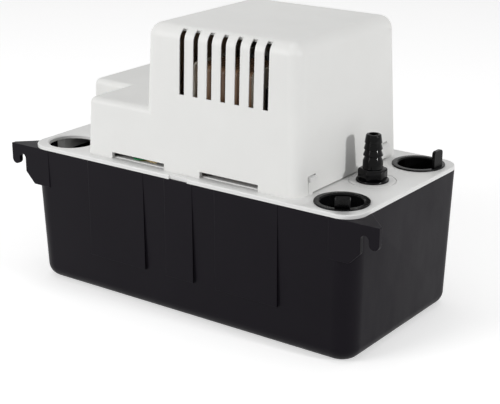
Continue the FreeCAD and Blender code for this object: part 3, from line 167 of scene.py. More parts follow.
# each plastic drifts between two screen colours
plastics = {
    "coverPlastic": {"colour": (228, 228, 226), "shade": (223, 223, 221), "rough": 0.46},
    "deckPlastic": {"colour": (226, 226, 225), "shade": (220, 220, 219), "rough": 0.42},
    # the cover's inner walls: a painted warm shade standing in for the dim light inside the cover, not a
    # colour of the plastic's own
    "coverInside": {"colour": (196, 164, 134), "shade": (166, 136, 110), "rough": 0.6},
    "tankPlastic": {
        "colour": (19, 16, 22), "shade": (16, 13, 19), "rough": 0.4, "grain": 0.09, "grainScale": 1500,
        "gloss": 0.08,
    },
    "plugPlastic": {
        "colour": (10, 10, 11), "shade": (7, 7, 8), "rough": 0.26, "grainScale": 2000, "gloss": 0.11,
    },
    "fittingPlastic": {
        "colour": (7, 7, 8), "shade": (4, 4, 5), "rough": 0.16, "grain": 0.14, "grainScale": 420,
        "gloss": 0.13,
    },
    "pumpPlastic": {"colour": (34, 34, 36), "shade": (27, 27, 29), "rough": 0.4},
    "fanPlastic": {"colour": (52, 52, 54), "shade": (43, 43, 45), "rough": 0.4},
    "bobbinPlastic": {"colour": (226, 222, 208), "shade": (214, 209, 193), "rough": 0.45},
    "floatFoam": {
        "colour": (222, 219, 208), "shade": (205, 201, 188), "rough": 0.8, "grain": 0.35, "grainScale": 900,
    },
    "switchPlastic": {"colour": (28, 28, 30), "shade": (22, 22, 24), "rough": 0.3},
    "plungerPlastic": {"colour": (176, 38, 30), "shade": (158, 32, 26), "rough": 0.3},
    "sealRubber": {
        "colour": (30, 30, 30), "shade": (24, 24, 24), "rough": 0.6, "grain": 0.12, "grainScale": 1800,
    },
    "coilTape": {
        "colour": (150, 118, 88), "shade": (118, 88, 62), "rough": 0.38, "grain": 0.1, "grainScale": 700,
    },
}
evenly = (1, 1, 1)
metals = {
    "zincSteel": {
        "colour": (196, 197, 194), "shade": (170, 172, 172), "rough": 0.32, "stretch": evenly, "scale": 240,
    },
    "brightSteel": {"colour": (206, 206, 205), "shade": (184, 184, 184), "rough": 0.22},
    "coreSteel": {
        "colour": (84, 84, 87), "shade": (58, 58, 61), "rough": 0.38, "stretch": (1, 1, 60), "scale": 60,
        "bump": 0.2,
    },
    "copperMetal": {"colour": (206, 128, 92), "shade": (176, 98, 66), "rough": 0.3},
    "bronzeMetal": {
        "colour": (168, 128, 82), "shade": (140, 104, 64), "rough": 0.45, "stretch": evenly, "scale": 900,
    },
    "brassMetal": {"colour": (206, 178, 118), "shade": (180, 152, 98), "rough": 0.3},
    "screwGreen": {
        "colour": (30, 148, 88), "shade": (22, 124, 72), "rough": 0.38, "stretch": evenly, "scale": 300,
        "bump": 0.05, "metallic": 0.2,
    },
}
finish = {name: mouldedPlastic(name, **facts) for name, facts in plastics.items()}
finish.update({name: workedMetal(name, **facts) for name, facts in metals.items()})
print("materials made")


def linked(mesh, name):
    obj = bpy.data.objects.new(name, mesh)
    scene.collection.objects.link(obj)
    return obj


@contextmanager
def opened(mesh):
    # the mesh as a bmesh, written back at the end
    bm = bmesh.new()
    bm.from_mesh(mesh)
    yield bm
    bm.to_mesh(mesh)
    bm.free()


def sharpen(mesh, degrees):
    # smooth shading with creases where two faces meet at more than this angle
    limit, straightOver = math.radians(degrees), 3.2
    with opened(mesh) as bm:
        for face in bm.faces:
            face.smooth = True
        for edge in bm.edges:
            edge.smooth = edge.is_manifold and edge.calc_face_angle(straightOver) < limit


def softened(obj, width, degrees=40, segments=2):
    # small rounded edges, as a mould leaves them
    bevel = obj.modifiers.new("softEdge", "BEVEL")
    bevel.width = width
    bevel.segments = segments
    bevel.limit_method = "ANGLE"
    bevel.angle_limit = math.radians(degrees)
    bevel.use_clamp_overlap = True
    bevel.harden_normals = True
    bevel.miter_outer = "MITER_ARC"
    return obj


def frozen(obj):
    # the evaluated mesh takes the modifiers' place
    scene.view_layers[0].update()
    graph = bpy.context.evaluated_depsgraph_get()
    mesh = bpy.data.meshes.new_from_object(obj.evaluated_get(graph))
    obj.modifiers.clear()
    obj.data = mesh
    return obj


def mergedCopy(node, name):
    # a joined copy of a CAD node's mesh, flat triangles dissolved into whole faces
    mesh = nodes[node].data.copy()
    mesh.name = name
    for extra in ("custom_normal", "sharp_edge", "sharp_face"):
        if extra in mesh.attributes:
            mesh.attributes.remove(mesh.attributes[extra])
    with opened(mesh) as bm:
        bmesh.ops.remove_doubles(bm, verts=bm.verts, dist=2e-6)
        bmesh.ops.dissolve_limit(bm, angle_limit=math.radians(0.4), verts=bm.verts, edges=bm.edges)
    mesh.materials.clear()
    return linked(mesh, name)


def settled(obj, node, material):
    # the piece rides on the node's body and takes the node's place
    obj.data.materials.clear()
    obj.data.materials.append(finish[material])
    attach(obj, bodies[node])
    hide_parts(node)
    return obj


rowSeed = 7


def startRule(name, sizes):
    # a Geometry Nodes tree with named inputs for its sizes
    tree = bpy.data.node_groups.new(name, "GeometryNodeTree")
    tree.interface.new_socket("Geometry", in_out="OUTPUT", socket_type="NodeSocketGeometry")
    tree.interface.new_socket("Geometry", in_out="INPUT", socket_type="NodeSocketGeometry")
    for label, kind in sizes.items():
        tree.interface.new_socket(label, in_out="INPUT", socket_type="NodeSocket" + kind)
    tree.interface.new_socket("Finish", in_out="INPUT", socket_type="NodeSocketMaterial")
    feed = tree.nodes.new("NodeGroupInput").outputs
    return tree, feed


def maths(tree, operation, *values):
    node = put(tree, "ShaderNodeMath", operation=operation)
    for socket, value in zip(node.inputs, values):
        if isinstance(value, (int, float)):
            socket.default_value = value
        else:
            tree.links.new(value, socket)
    return node.outputs[0]


def joinedXYZ(tree, *values):
    node = put(tree, "ShaderNodeCombineXYZ")
    for socket, value in zip(node.inputs, values):
        if isinstance(value, (int, float)):
            socket.default_value = value
        else:
            tree.links.new(value, socket)
    return node.outputs[0]


def endRule(tree, feed, geometry):
    # instances made real, then the finish set
    real = put(tree, "GeometryNodeRealizeInstances")
    dressed = put(tree, "GeometryNodeSetMaterial")
    out = tree.nodes.new("NodeGroupOutput")
    tree.links.new(geometry, real.inputs["Geometry"])
    tree.links.new(real.outputs[0], dressed.inputs["Geometry"])
    tree.links.new(feed["Finish"], dressed.inputs["Material"])
    tree.links.new(dressed.outputs[0], out.inputs[0])
    return tree


def makeRowRule():
    # copies of the mesh in a straight row, each shifted by a little
    tree, feed = startRule("rowRule", {
        "Count": "Int", "Step": "Vector", "Start": "Vector", "Slack": "Float",
    })
    line = put(tree, "GeometryNodeMeshLine", mode="OFFSET")
    tree.links.new(feed["Count"], line.inputs["Count"])
    tree.links.new(feed["Step"], line.inputs["Offset"])
    tree.links.new(feed["Start"], line.inputs["Start Location"])
    copies = put(tree, "GeometryNodeInstanceOnPoints")
    tree.links.new(line.outputs[0], copies.inputs["Points"])
    tree.links.new(feed["Geometry"], copies.inputs["Instance"])
    shift = put(tree, "FunctionNodeRandomValue", data_type="FLOAT_VECTOR")
    shift.inputs["Seed"].default_value = rowSeed
    back = maths(tree, "MULTIPLY", feed["Slack"], -1)
    tree.links.new(joinedXYZ(tree, back, back, 0), shift.inputs["Min"])
    tree.links.new(joinedXYZ(tree, feed["Slack"], feed["Slack"], 0), shift.inputs["Max"])
    moved = put(tree, "GeometryNodeTranslateInstances")
    tree.links.new(copies.outputs[0], moved.inputs["Instances"])
    tree.links.new(shift.outputs[0], moved.inputs["Translation"])
    return endRule(tree, feed, moved.outputs[0])


def makeRingRule():
    # copies of the mesh turned about an upright axis
    tree, feed = startRule("ringRule", {"Count": "Int", "Centre": "Vector", "First Angle": "Float"})
    points = put(tree, "GeometryNodePoints")
    tree.links.new(feed["Count"], points.inputs["Count"])
    tree.links.new(feed["Centre"], points.inputs["Position"])
    share = maths(tree, "DIVIDE", put(tree, "GeometryNodeInputIndex").outputs[0], feed["Count"])
    angle = maths(tree, "MULTIPLY_ADD", share, 2 * math.pi, feed["First Angle"])
    copies = put(tree, "GeometryNodeInstanceOnPoints")
    tree.links.new(points.outputs[0], copies.inputs["Points"])
    tree.links.new(feed["Geometry"], copies.inputs["Instance"])
    tree.links.new(joinedXYZ(tree, 0, 0, angle), copies.inputs["Rotation"])
    return endRule(tree, feed, copies.outputs[0])


def makeTurnedRule():
    # a closed profile of points (radius, 0, height) turned about an upright axis
    tree, feed = startRule("turnedRule", {"Steps": "Int", "Centre": "Vector"})
    count = put(tree, "GeometryNodeAttributeDomainSize")
    tree.links.new(feed["Geometry"], count.inputs["Geometry"])
    points = count.outputs["Point Count"]
    rows = maths(tree, "ADD", points, 1)
    grid = put(tree, "GeometryNodeMeshGrid")
    tree.links.new(maths(tree, "ADD", feed["Steps"], 1), grid.inputs["Vertices X"])
    tree.links.new(rows, grid.inputs["Vertices Y"])
    index = put(tree, "GeometryNodeInputIndex").outputs[0]
    turn = maths(tree, "FLOOR", maths(tree, "DIVIDE", maths(tree, "ADD", index, 0.25), rows))
    row = maths(tree, "SUBTRACT", index, maths(tree, "MULTIPLY", turn, rows))
    angle = maths(tree, "MULTIPLY", maths(tree, "DIVIDE", turn, feed["Steps"]), 2 * math.pi)
    sample = put(tree, "GeometryNodeSampleIndex", data_type="FLOAT_VECTOR", domain="POINT")
    tree.links.new(feed["Geometry"], sample.inputs["Geometry"])
    tree.links.new(put(tree, "GeometryNodeInputPosition").outputs[0], sample.inputs["Value"])
    tree.links.new(maths(tree, "MODULO", row, points), sample.inputs["Index"])
    parts = put(tree, "ShaderNodeSeparateXYZ")
    tree.links.new(sample.outputs[0], parts.inputs[0])
    radius, height = parts.outputs[0], parts.outputs[2]
    around = joinedXYZ(
        tree, maths(tree, "MULTIPLY", radius, maths(tree, "COSINE", angle)),
        maths(tree, "MULTIPLY", radius, maths(tree, "SINE", angle)), height,
    )
    place = put(tree, "ShaderNodeVectorMath", operation="ADD")
    tree.links.new(around, place.inputs[0])
    tree.links.new(feed["Centre"], place.inputs[1])
    moved = put(tree, "GeometryNodeSetPosition")
    tree.links.new(grid.outputs["Mesh"], moved.inputs["Geometry"])
    tree.links.new(place.outputs[0], moved.inputs["Position"])
    closed = put(tree, "GeometryNodeMergeByDistance")
    closed.inputs["Distance"].default_value = 1e-6
    tree.links.new(moved.outputs[0], closed.inputs["Geometry"])
    return endRule(tree, feed, closed.outputs[0])


rowRule = makeRowRule()
ringRule = makeRingRule()
turnedRule = makeTurnedRule()


def ruled(obj, rule, values):
    # one Geometry Nodes rule carried out, its open ends of wire taken away
    modifier = obj.modifiers.new(rule.name, "NODES")
    modifier.node_group = rule
    for item in rule.interface.items_tree:
        if item.in_out == "INPUT" and item.name in values:
            modifier[item.identifier] = values[item.name]
    frozen(obj)
    with opened(obj.data) as bm:
        bmesh.ops.delete(bm, geom=[e for e in bm.edges if not e.link_faces], context="EDGES")
        bmesh.ops.recalc_face_normals(bm, faces=bm.faces)
    return obj


def meshFrom(name, points, faces=()):
    mesh = bpy.data.meshes.new(name)
    mesh.from_pydata(points, [], faces)
    return mesh


def turned(name, profile, centre, material, steps=64):
    obj = linked(meshFrom(name, [(radius, 0, height) for radius, height in profile]), name)
    return ruled(obj, turnedRule, {"Steps": steps, "Centre": centre, "Finish": finish[material]})


def oneMesh(first, others):
    # the other objects' meshes go into the first one
    bm = bmesh.new()
    for obj in [first] + others:
        bm.from_mesh(obj.data)
    bm.to_mesh(first.data)
    bm.free()
    for obj in others:
        bpy.data.objects.remove(obj)
    return first


def carved(obj, other, operation):
    # one Boolean step, after which the second mesh is gone
    cut = obj.modifiers.new("carve", "BOOLEAN")
    cut.operation = operation
    cut.solver = "EXACT"
    cut.object = other
    frozen(obj)
    bpy.data.objects.remove(other)
    return obj


def closeSmall(bm):
    # slits of three or four edges filled, loose edges taken away
    bmesh.ops.holes_fill(bm, edges=[e for e in bm.edges if len(e.link_faces) == 1], sides=4)
    bmesh.ops.delete(bm, geom=[e for e in bm.edges if not e.link_faces], context="EDGES")


def tidied(obj):
    # after Booleans: doubles merged, slivers and slits closed, many-sided faces cut into triangles
    with opened(obj.data) as bm:
        bmesh.ops.remove_doubles(bm, verts=bm.verts, dist=3e-6)
        bmesh.ops.dissolve_degenerate(bm, edges=bm.edges, dist=3e-6)
        closeSmall(bm)
        bmesh.ops.triangulate(bm, faces=[f for f in bm.faces if len(f.verts) > 4])
    sharpen(obj.data, creaseAngle)
    return obj


def weighted(obj):
    # large flat faces keep their own normal beside round edges
    with opened(obj.data) as bm:
        closeSmall(bm)
    weights = obj.modifiers.new("faceWeights", "WEIGHTED_NORMAL")
    weights.keep_sharp = True
    return frozen(obj)


boxFaces = ((0, 3, 2, 1), (4, 5, 6, 7), (0, 1, 5, 4), (1, 2, 6, 5), (2, 3, 7, 6), (3, 0, 4, 7))


def boxPoints(left, right, front, rear, z):
    return [(left, front, z), (right, front, z), (right, rear, z), (left, rear, z)]


def boxes(name, spans):
    # one mesh of upright boxes, each (left, right, front, rear, low, high)
    points, faces = [], []
    for left, right, front, rear, low, high in spans:
        first = len(points)
        for z in (low, high):
            points += boxPoints(left, right, front, rear, z)
        faces += [tuple(first + corner for corner in face) for face in boxFaces]
    return linked(meshFrom(name, points, faces), name)


def pipe(name, centre, radius, low, high, material, steps=64):
    profile = [(0, low), (radius, low), (radius, high), (0, high)]
    return turned(name, profile, centre, material, steps)


cover = {
    "left": -0.0332, "right": 0.0819, "halfDepth": 0.0573, "low": 0.0922, "top": 0.181,
    "wall": 0.0025, "draft": 0.037, "edge": 0.008, "roundness": 8, "softEdge": 0.0003,
    "stepTop": 0.1289, "stepLeft": -0.1081, "stepFrontLeft": -0.0781, "stepNotch": -0.0197,
    "stepEdge": 0.004, "overlap": 0.012, "apart": 0.00002, "below": 0.002, "past": 0.001,
    "vents": 7, "ventFirst": -0.004, "ventPitch": 0.0101, "ventWidth": 0.0036,
    "ventLow": 0.1408, "ventReach": 0.0073, "ventLip": 0.0006, "ventRelief": 0.0014,
    "slots": ((-0.0573, -0.0155), (0.0118, 0.0545)), "slotTop": 0.0962, "slotDepth": 0.004,
    "seam": 0.0009, "catchWidth": 0.008, "catchLow": 0.1, "catchTop": 0.1035, "catchDepth": 0.005,
    "catchRight": (-0.042, 0.0387), "catchLeft": (0.002, 0.04),
    "ribWidth": 0.0024, "ribProud": 0.0003, "ribFoot": 0.002,
    "cordX": -0.07, "cordZ": 0.1062, "cordRadius": 0.005, "cordInset": 0.002, "cordDepth": 0.005,
    "cordSteps": 48,
    "offWall": 0.0001, "wallSlack": 0.0002, "acrossInside": 0.009,
}


def coverBlock(name, xSpan, ySpan, top, edge, inset):
    # a drafted box with round upright and top edges
    c = cover
    points = []
    for z in (c["low"] - (c["below"] if inset else 0), top - inset):
        lean = inset + c["draft"] * (z - c["low"])
        points += boxPoints(xSpan[0] + lean, xSpan[1] - lean, ySpan[0] + lean, ySpan[1] - lean, z)
    obj = linked(meshFrom(name, points, boxFaces), name)
    middle = (points[0][2] + points[4][2]) / 2
    with opened(obj.data) as bm:
        rims = [e for e in bm.edges if max(v.co.z for v in e.verts) > middle]
        bmesh.ops.bevel(
            bm, geom=rims, offset=edge - inset, segments=c["roundness"], affect="EDGES", profile=0.5
        )
    return obj


def coverForm(name, inset):
    # tall motor housing and the low step that leaves the open inlet free
    c = cover
    halfDepth, apart, joint = c["halfDepth"], c["apart"], c["left"] + c["overlap"]
    form = coverBlock(name, (c["left"], c["right"]), (-halfDepth, halfDepth), c["top"], c["edge"], inset)
    front = (apart - halfDepth, c["stepNotch"] + 2 * c["overlap"])
    rear = (c["stepNotch"], halfDepth - apart)
    for left, span, top in (
        (c["stepFrontLeft"], front, c["stepTop"] - apart), (c["stepLeft"], rear, c["stepTop"])
    ):
        step = coverBlock(name + "Step", (left, joint), span, top, c["stepEdge"], inset)
        carved(form, step, "UNION")
    return form


def ventCutters(name, border, reach):
    # one slot in the front and one in the rear wall, repeated along the cover
    c = cover
    left, right = c["ventFirst"] - border, c["ventFirst"] + c["ventWidth"] + border
    outside, inside = c["halfDepth"] + c["past"], c["halfDepth"] - reach
    low, high = c["ventLow"] - border, c["top"] + c["past"]
    pair = boxes(name, [
        (left, right, -outside, -inside, low, high), (left, right, inside, outside, low, high),
    ])
    return ruled(pair, rowRule, {
        "Count": c["vents"], "Step": (c["ventPitch"], 0, 0), "Start": (0, 0, 0), "Slack": 0.0,
        "Finish": finish["coverPlastic"],
    })


def coverOpenings():
    # base slots, the seam under the right wall and the catch windows
    c = cover
    past, front, half = c["past"], -c["halfDepth"], c["catchWidth"] / 2
    under, side = c["low"] - past, c["halfDepth"] - 2 * c["edge"]
    spans = []
    for left, right in c["slots"]:
        spans.append((left, right, front - past, front + c["slotDepth"], under, c["slotTop"]))
    spans.append((c["right"] - c["catchDepth"], c["right"] + past, -side, side, under, c["low"] + c["seam"]))
    for wall, places in ((c["right"], c["catchRight"]), (c["stepLeft"], c["catchLeft"])):
        left, right = wall - c["catchDepth"], wall + c["catchDepth"]
        for y in places:
            spans.append((left, right, y - half, y + half, c["catchLow"], c["catchTop"]))
    return spans


def makeCover():
    c = cover
    shell = coverForm("coverShell", 0)
    for y in c["catchRight"]:
        front = y - c["catchWidth"] / 2
        rib = boxes("catchRib", [(
            c["right"] - c["ribFoot"], c["right"] + c["ribProud"], front, front + c["ribWidth"],
            c["low"] + c["seam"], c["catchLow"],
        )])
        carved(shell, rib, "UNION")
    carved(shell, coverForm("coverInner", c["wall"]), "DIFFERENCE")
    relief = coverForm("ventReliefs", c["ventLip"])
    carved(relief, ventCutters("ventRows", c["ventRelief"], c["ventReach"] + c["past"]), "INTERSECT")
    carved(shell, relief, "DIFFERENCE")
    carved(shell, ventCutters("vents", 0, c["ventReach"]), "DIFFERENCE")
    carved(shell, boxes("coverOpenings", coverOpenings()), "DIFFERENCE")
    reach, steps = c["cordDepth"], c["cordSteps"]
    hole = pipe("cordHole", (0, 0, 0), c["cordRadius"], -reach, reach, "coverPlastic", steps)
    centre = (c["cordX"], c["halfDepth"] - c["cordInset"], c["cordZ"])
    hole.data.transform(Matrix.Translation(centre) @ Matrix.Rotation(math.pi / 2, 4, "X"))
    carved(shell, hole, "DIFFERENCE")
    return weighted(frozen(softened(tidied(shell), c["softEdge"], creaseAngle)))


def paintShadeInside(obj, material):
    # faces on the inner walls that look across the cover get a darker warm colour: painted shade, with the
    # warm cast of light through the thin white plastic painted in too
    c = cover
    obj.data.materials.append(finish[material])
    with opened(obj.data) as bm:
        tree = BVHTree.FromBMesh(bm)
        for face in bm.faces:
            x, y, z = centre = face.calc_center_median()
            hit = tree.ray_cast(centre + face.normal * c["offWall"], face.normal)
            wall = c["wall"] + c["draft"] * (z - c["low"]) - c["wallSlack"]
            withinWalls = abs(y) < c["halfDepth"] - wall and x < c["right"] - wall
            if hit[0] is not None and hit[3] > c["acrossInside"] and withinWalls:
                face.material_index = 1


coverShell = settled(makeCover(), "motor_cover", "coverPlastic")
# the inner walls of the white cover take the painted warm shade
paintShadeInside(coverShell, "coverInside")
print("cover made")

deck = {
    "top": 0.0922, "bottom": 0.0897, "edge": 0.0003, "past": 0.001,
    "openInlet": (-0.1035, -0.044, 0), "openRadius": 0.015, "mouthTop": 0.094,
    "collar": 0.0172, "collarLow": 0.0815, "apart": 0.00002,
    "outletX": 0.097, "pad": 0.00004, "ringInner": 0.0088, "ringOuter": 0.0152, "ringTop": 0.0935,
    "seamOuter": 0.0145, "seamWidth": 0.0005, "seamDepth": 0.0005,
    "ribTop": 0.0942, "ribLower": 0.0014, "ribY": (-0.0556, -0.0525),
    "noseLow": (0.1002, 0.1009), "noseLift": 0.0016, "rightNose": 0.0803, "rightReach": 0.0029,
    "leftNose": -0.1034, "leftReach": 0.0032, "leftTongue": (-0.1037, -0.0998), "leftShift": 0.0031,
    "leftPlaces": ((-0.002, 0.006), (0.036, 0.044)), "steps": 96,
}


def fitCatches(mesh):
    # the low rib, the catch noses and the left tongues moved to meet the cover
    d = deck
    for vertex in mesh.vertices:
        x, y, z = vertex.co
        if abs(z - d["ribTop"]) < near and d["ribY"][0] < y < d["ribY"][1]:
            vertex.co.z -= d["ribLower"]
        atNose = d["noseLow"][0] < z < d["noseLow"][1]
        if atNose and (x > d["rightNose"] or x < d["leftNose"]):
            vertex.co.x += d["rightReach"] if x > 0 else -d["leftReach"] + d["leftShift"] / 2
            if z > sum(d["noseLow"]) / 2:
                vertex.co.z += d["noseLift"]
        onTongue = d["leftTongue"][0] < x < d["leftTongue"][1] and z > d["top"] - near
        if onTongue and any(front < y < rear for front, rear in d["leftPlaces"]):
            vertex.co.x -= d["leftShift"]


def makeDeck():
    # the CAD plate with a fine seam round the outlet and a plain edge at the open inlet
    d = deck
    plate = mergedCopy("deck", "deckPlate")
    fitCatches(plate.data)
    seat, groove = d["top"] + d["pad"], d["top"] - d["seamDepth"]
    outer, inner = d["seamOuter"], d["seamOuter"] - d["seamWidth"]
    profile = [
        (d["ringInner"], seat), (inner, seat), (inner, groove), (outer, groove), (outer, seat),
        (d["ringOuter"], seat), (d["ringOuter"], d["ringTop"]), (d["ringInner"], d["ringTop"]),
    ]
    seam = turned("outletSeam", profile, (d["outletX"], 0, 0), "deckPlastic", d["steps"])
    carved(plate, seam, "DIFFERENCE")
    low, high = d["collarLow"], d["bottom"] - d["apart"]
    collar = pipe("collarCutter", d["openInlet"], d["collar"], low, high, "deckPlastic")
    carved(plate, collar, "DIFFERENCE")
    low, high = d["bottom"] - d["past"], d["mouthTop"]
    mouth = pipe("mouthCutter", d["openInlet"], d["openRadius"], low, high, "deckPlastic", d["steps"])
    carved(plate, mouth, "DIFFERENCE")
    return weighted(frozen(softened(tidied(plate), d["edge"], creaseAngle)))


settled(makeDeck(), "deck", "deckPlastic")
print("deck made")

tank = {"softEdge": 0.0003}
tub = mergedCopy("tank", "tankTub")
sharpen(tub.data, creaseAngle)
settled(frozen(softened(tub, tank["softEdge"])), "tank", "tankPlastic")

plug = {
    "x": 0.1035, "y": 0.044, "deckTop": 0.0922, "body": 0.014, "low": 0.0822, "wall": 0.0013,
    "flange": 0.0163, "flangeTop": 0.0932, "edge": 0.0004, "footEdge": 0.0012, "mouth": 0.0008,
    "floorEdge": 0.0005, "softEdge": 0.00025, "softOver": 50, "steps": 72,
    "tabWidth": 0.0088, "tabHeight": 0.0115, "tabThickness": 0.002, "tabCorner": 0.002,
    "tabRadius": 0.0143, "cornerSteps": 6,
}


def plugProfile(g):
    # round foot, out over the flange, and down inside to the floor
    inner, floor = g["body"] - g["wall"], g["low"] + g["wall"]
    foot, flange, top, edge = g["footEdge"], g["flange"], g["flangeTop"], g["edge"]
    profile = [(0, floor), (0, g["low"]), (g["body"] - foot, g["low"])]
    for degrees in (30, 60, 90):
        turn = math.radians(degrees)
        profile.append((
            g["body"] - foot + foot * math.sin(turn), g["low"] + foot - foot * math.cos(turn)
        ))
    return profile + [
        (g["body"], g["deckTop"]), (flange - edge / 2, g["deckTop"]), (flange, g["deckTop"] + edge / 2),
        (flange, top - edge), (flange - edge * 0.3, top - edge * 0.3), (flange - edge, top),
        (inner + g["mouth"], top), (inner, top - g["mouth"]), (inner, floor + g["floorEdge"]),
        (inner - g["floorEdge"], floor),
    ]


def makePlug(node, name, y, tabAngle, tabLean):
    # a thin turned cup, and a pull tab that stands at its rim
    g = plug
    cup = turned(name, plugProfile(g), (g["x"], y, 0), "plugPlastic", g["steps"])
    half, top = g["tabWidth"] / 2, g["deckTop"] + g["tabHeight"]
    tab = boxes("pullTab", [(
        g["tabRadius"] - g["tabThickness"], g["tabRadius"], -half, half, g["deckTop"], top,
    )])
    with opened(tab.data) as bm:
        crown = [e for e in bm.edges if all(v.co.z > top - near for v in e.verts)]
        corners = [e for e in crown if abs(e.verts[0].co.x - e.verts[1].co.x) > g["tabThickness"] / 2]
        bmesh.ops.bevel(
            bm, geom=corners, offset=g["tabCorner"], segments=g["cornerSteps"], affect="EDGES", profile=0.5
        )
    hinge = Matrix.Translation((g["tabRadius"], 0, g["flangeTop"]))
    lean = hinge @ Matrix.Rotation(math.radians(tabLean), 4, "Y") @ hinge.inverted()
    turn = Matrix.Translation((g["x"], y, 0)) @ Matrix.Rotation(math.radians(tabAngle), 4, "Z")
    tab.data.transform(turn @ lean)
    carved(cup, tab, "UNION")
    cup = weighted(frozen(softened(tidied(cup), g["softEdge"], g["softOver"])))
    return settled(cup, node, "plugPlastic")


makePlug("front_inlet_plug", "frontPlugCup", -plug["y"], -57, 42)
makePlug("rear_inlet_plug", "rearPlugCup", plug["y"], -4, 0)
print("tank and plugs made")

fitting = {
    "x": 0.097, "bottom": 0.068, "deckTop": 0.09225, "shankRadius": 0.0079,
    "chamberRadius": 0.0052, "chamberTop": 0.082, "bore": 0.0027, "boreEdge": 0.0003,
    "flangeRadius": 0.0099, "flangeTop": 0.094, "edge": 0.0005,
    "hexFlat": 0.0077, "hexTop": 0.1002, "hexTurn": 6, "hexEdge": 0.0004,
    "footRadius": 0.006, "footTop": 0.1047, "stemRadius": 0.0046, "top": 0.1208, "lip": 0.0009,
    "barbs": 3, "barbPitch": 0.0039, "barbLead": 0.0012, "barbRadius": 0.0052,
    "barbGrowth": 0.00036, "barbLand": 0.00035, "barbEdge": 0.0001, "steps": 72, "crease": 38,
}


def fittingProfile(f):
    # from the foot of the shank up the outside, over the barbs and down the bore
    flange, flangeTop, edge = f["flangeRadius"], f["flangeTop"], f["edge"]
    profile = [
        (f["chamberRadius"], f["bottom"]), (f["shankRadius"], f["bottom"]),
        (f["shankRadius"], f["deckTop"]), (flange - edge / 2, f["deckTop"]),
        (flange, f["deckTop"] + edge / 2), (flange, flangeTop - edge * 2),
        (flange - edge / 2, flangeTop - edge), (f["hexFlat"] - edge, flangeTop),
        (f["footRadius"], f["hexTop"] - edge), (f["footRadius"], f["footTop"]),
    ]
    foot = f["top"] - f["barbs"] * f["barbPitch"] - f["barbLead"]
    profile.append((f["stemRadius"], foot))
    for step in range(f["barbs"]):
        rim = f["barbRadius"] + f["barbGrowth"] * (f["barbs"] - 1 - step)
        profile.append((rim - f["barbEdge"], foot))
        profile.append((rim, foot + f["barbEdge"]))
        profile.append((rim, foot + f["barbLand"]))
        foot += f["barbPitch"]
        if step < f["barbs"] - 1:
            profile.append((f["stemRadius"], foot))
    lip, top = f["lip"], f["top"]
    for degrees in (0, 30, 60, 90):
        turn = math.radians(degrees)
        profile.append((f["stemRadius"] - lip * (1 - math.cos(turn)), top - lip * (1 - math.sin(turn))))
    return profile + [
        (f["bore"] + f["boreEdge"], top), (f["bore"], top - f["boreEdge"]),
        (f["bore"], f["chamberTop"]), (f["chamberRadius"], f["chamberTop"]),
    ]


def hexPrism(name, place, low, top, flat, turn, edge):
    # a six-sided head with its upper corners taken off
    bm = bmesh.new()
    corner = flat / math.cos(math.pi / 6)
    spin = Matrix.Rotation(math.radians(turn), 4, "Z")
    move = Matrix.Translation((*place, (low + top) / 2))
    bmesh.ops.create_cone(
        bm, segments=6, radius1=corner, radius2=corner, depth=top - low, cap_ends=True,
        matrix=move @ spin,
    )
    crown = [e for e in bm.edges if all(v.co.z > top - near for v in e.verts)]
    bmesh.ops.bevel(bm, geom=crown, offset=edge * 1.75, segments=1, affect="EDGES", profile=0.5)
    mesh = bpy.data.meshes.new(name)
    bm.to_mesh(mesh)
    bm.free()
    return frozen(softened(linked(mesh, name), edge, 25, 3))


outlet = (fitting["x"], 0, 0)
barbedFitting = turned(
    "barbedFitting", fittingProfile(fitting), outlet, "fittingPlastic", fitting["steps"]
)
oneMesh(barbedFitting, [hexPrism(
    "fittingHexagon", outlet[:2], fitting["flangeTop"] - fitting["edge"], fitting["hexTop"],
    fitting["hexFlat"], fitting["hexTurn"], fitting["hexEdge"],
)])
sharpen(barbedFitting.data, fitting["crease"])
settled(barbedFitting, "check_valve_body", "fittingPlastic")
print("fitting made")

earthScrew = {
    "x": -0.041, "y": -0.0475, "low": 0.0852, "shank": 0.0025, "seat": 0.093, "flange": 0.0058,
    "flangeTop": 0.0938, "edge": 0.0002, "flat": 0.0034, "top": 0.0962, "turn": 0,
    "headSink": 0.0001, "headEdge": 0.0003,
    "slotReach": 0.005, "slotWidth": 0.001, "slotDepth": 0.0009, "past": 0.001,
    "steps": 48, "crease": 35,
}


def makeEarthScrew():
    # green hexagon head with a washer face and a driver slot
    g = earthScrew
    x, y, edge = g["x"], g["y"], g["edge"]
    flange, seat, flangeTop = g["flange"], g["seat"], g["flangeTop"]
    profile = [
        (0, g["low"]), (g["shank"], g["low"]), (g["shank"], seat), (flange - edge, seat),
        (flange, seat + edge), (flange, flangeTop - edge), (flange - edge, flangeTop), (0, flangeTop),
    ]
    screw = turned("earthHexScrew", profile, (x, y, 0), "screwGreen", g["steps"])
    low, half = flangeTop - g["headSink"], g["slotWidth"] / 2
    head = hexPrism("screwHead", (x, y), low, g["top"], g["flat"], g["turn"], g["headEdge"])
    slot = boxes("driverSlot", [(
        x - g["slotReach"], x + g["slotReach"], y - half, y + half, g["top"] - g["slotDepth"],
        g["top"] + g["past"],
    )])
    oneMesh(screw, [carved(head, slot, "DIFFERENCE")])
    sharpen(screw.data, g["crease"])
    return settled(screw, "earth_screw", "screwGreen")


makeEarthScrew()
print("earth screw made")

motor = {"x": 0.02435, "y": 0.012}
fan = {
    "low": 0.1645, "height": 0.0085, "hubRadius": 0.007, "bore": 0.003, "tip": 0.0279,
    "blades": 6, "rootPitch": 40, "tipPitch": 25, "rootChord": 0.0095, "tipChord": 0.0155,
    "rootSink": 0.001, "tipTaper": 0.8, "camber": 0.0012, "thickness": 0.0012,
    "rows": 9, "columns": 7, "softEdge": 0.0003, "softOver": 60, "hubEdge": 0.0008, "crease": 40,
}


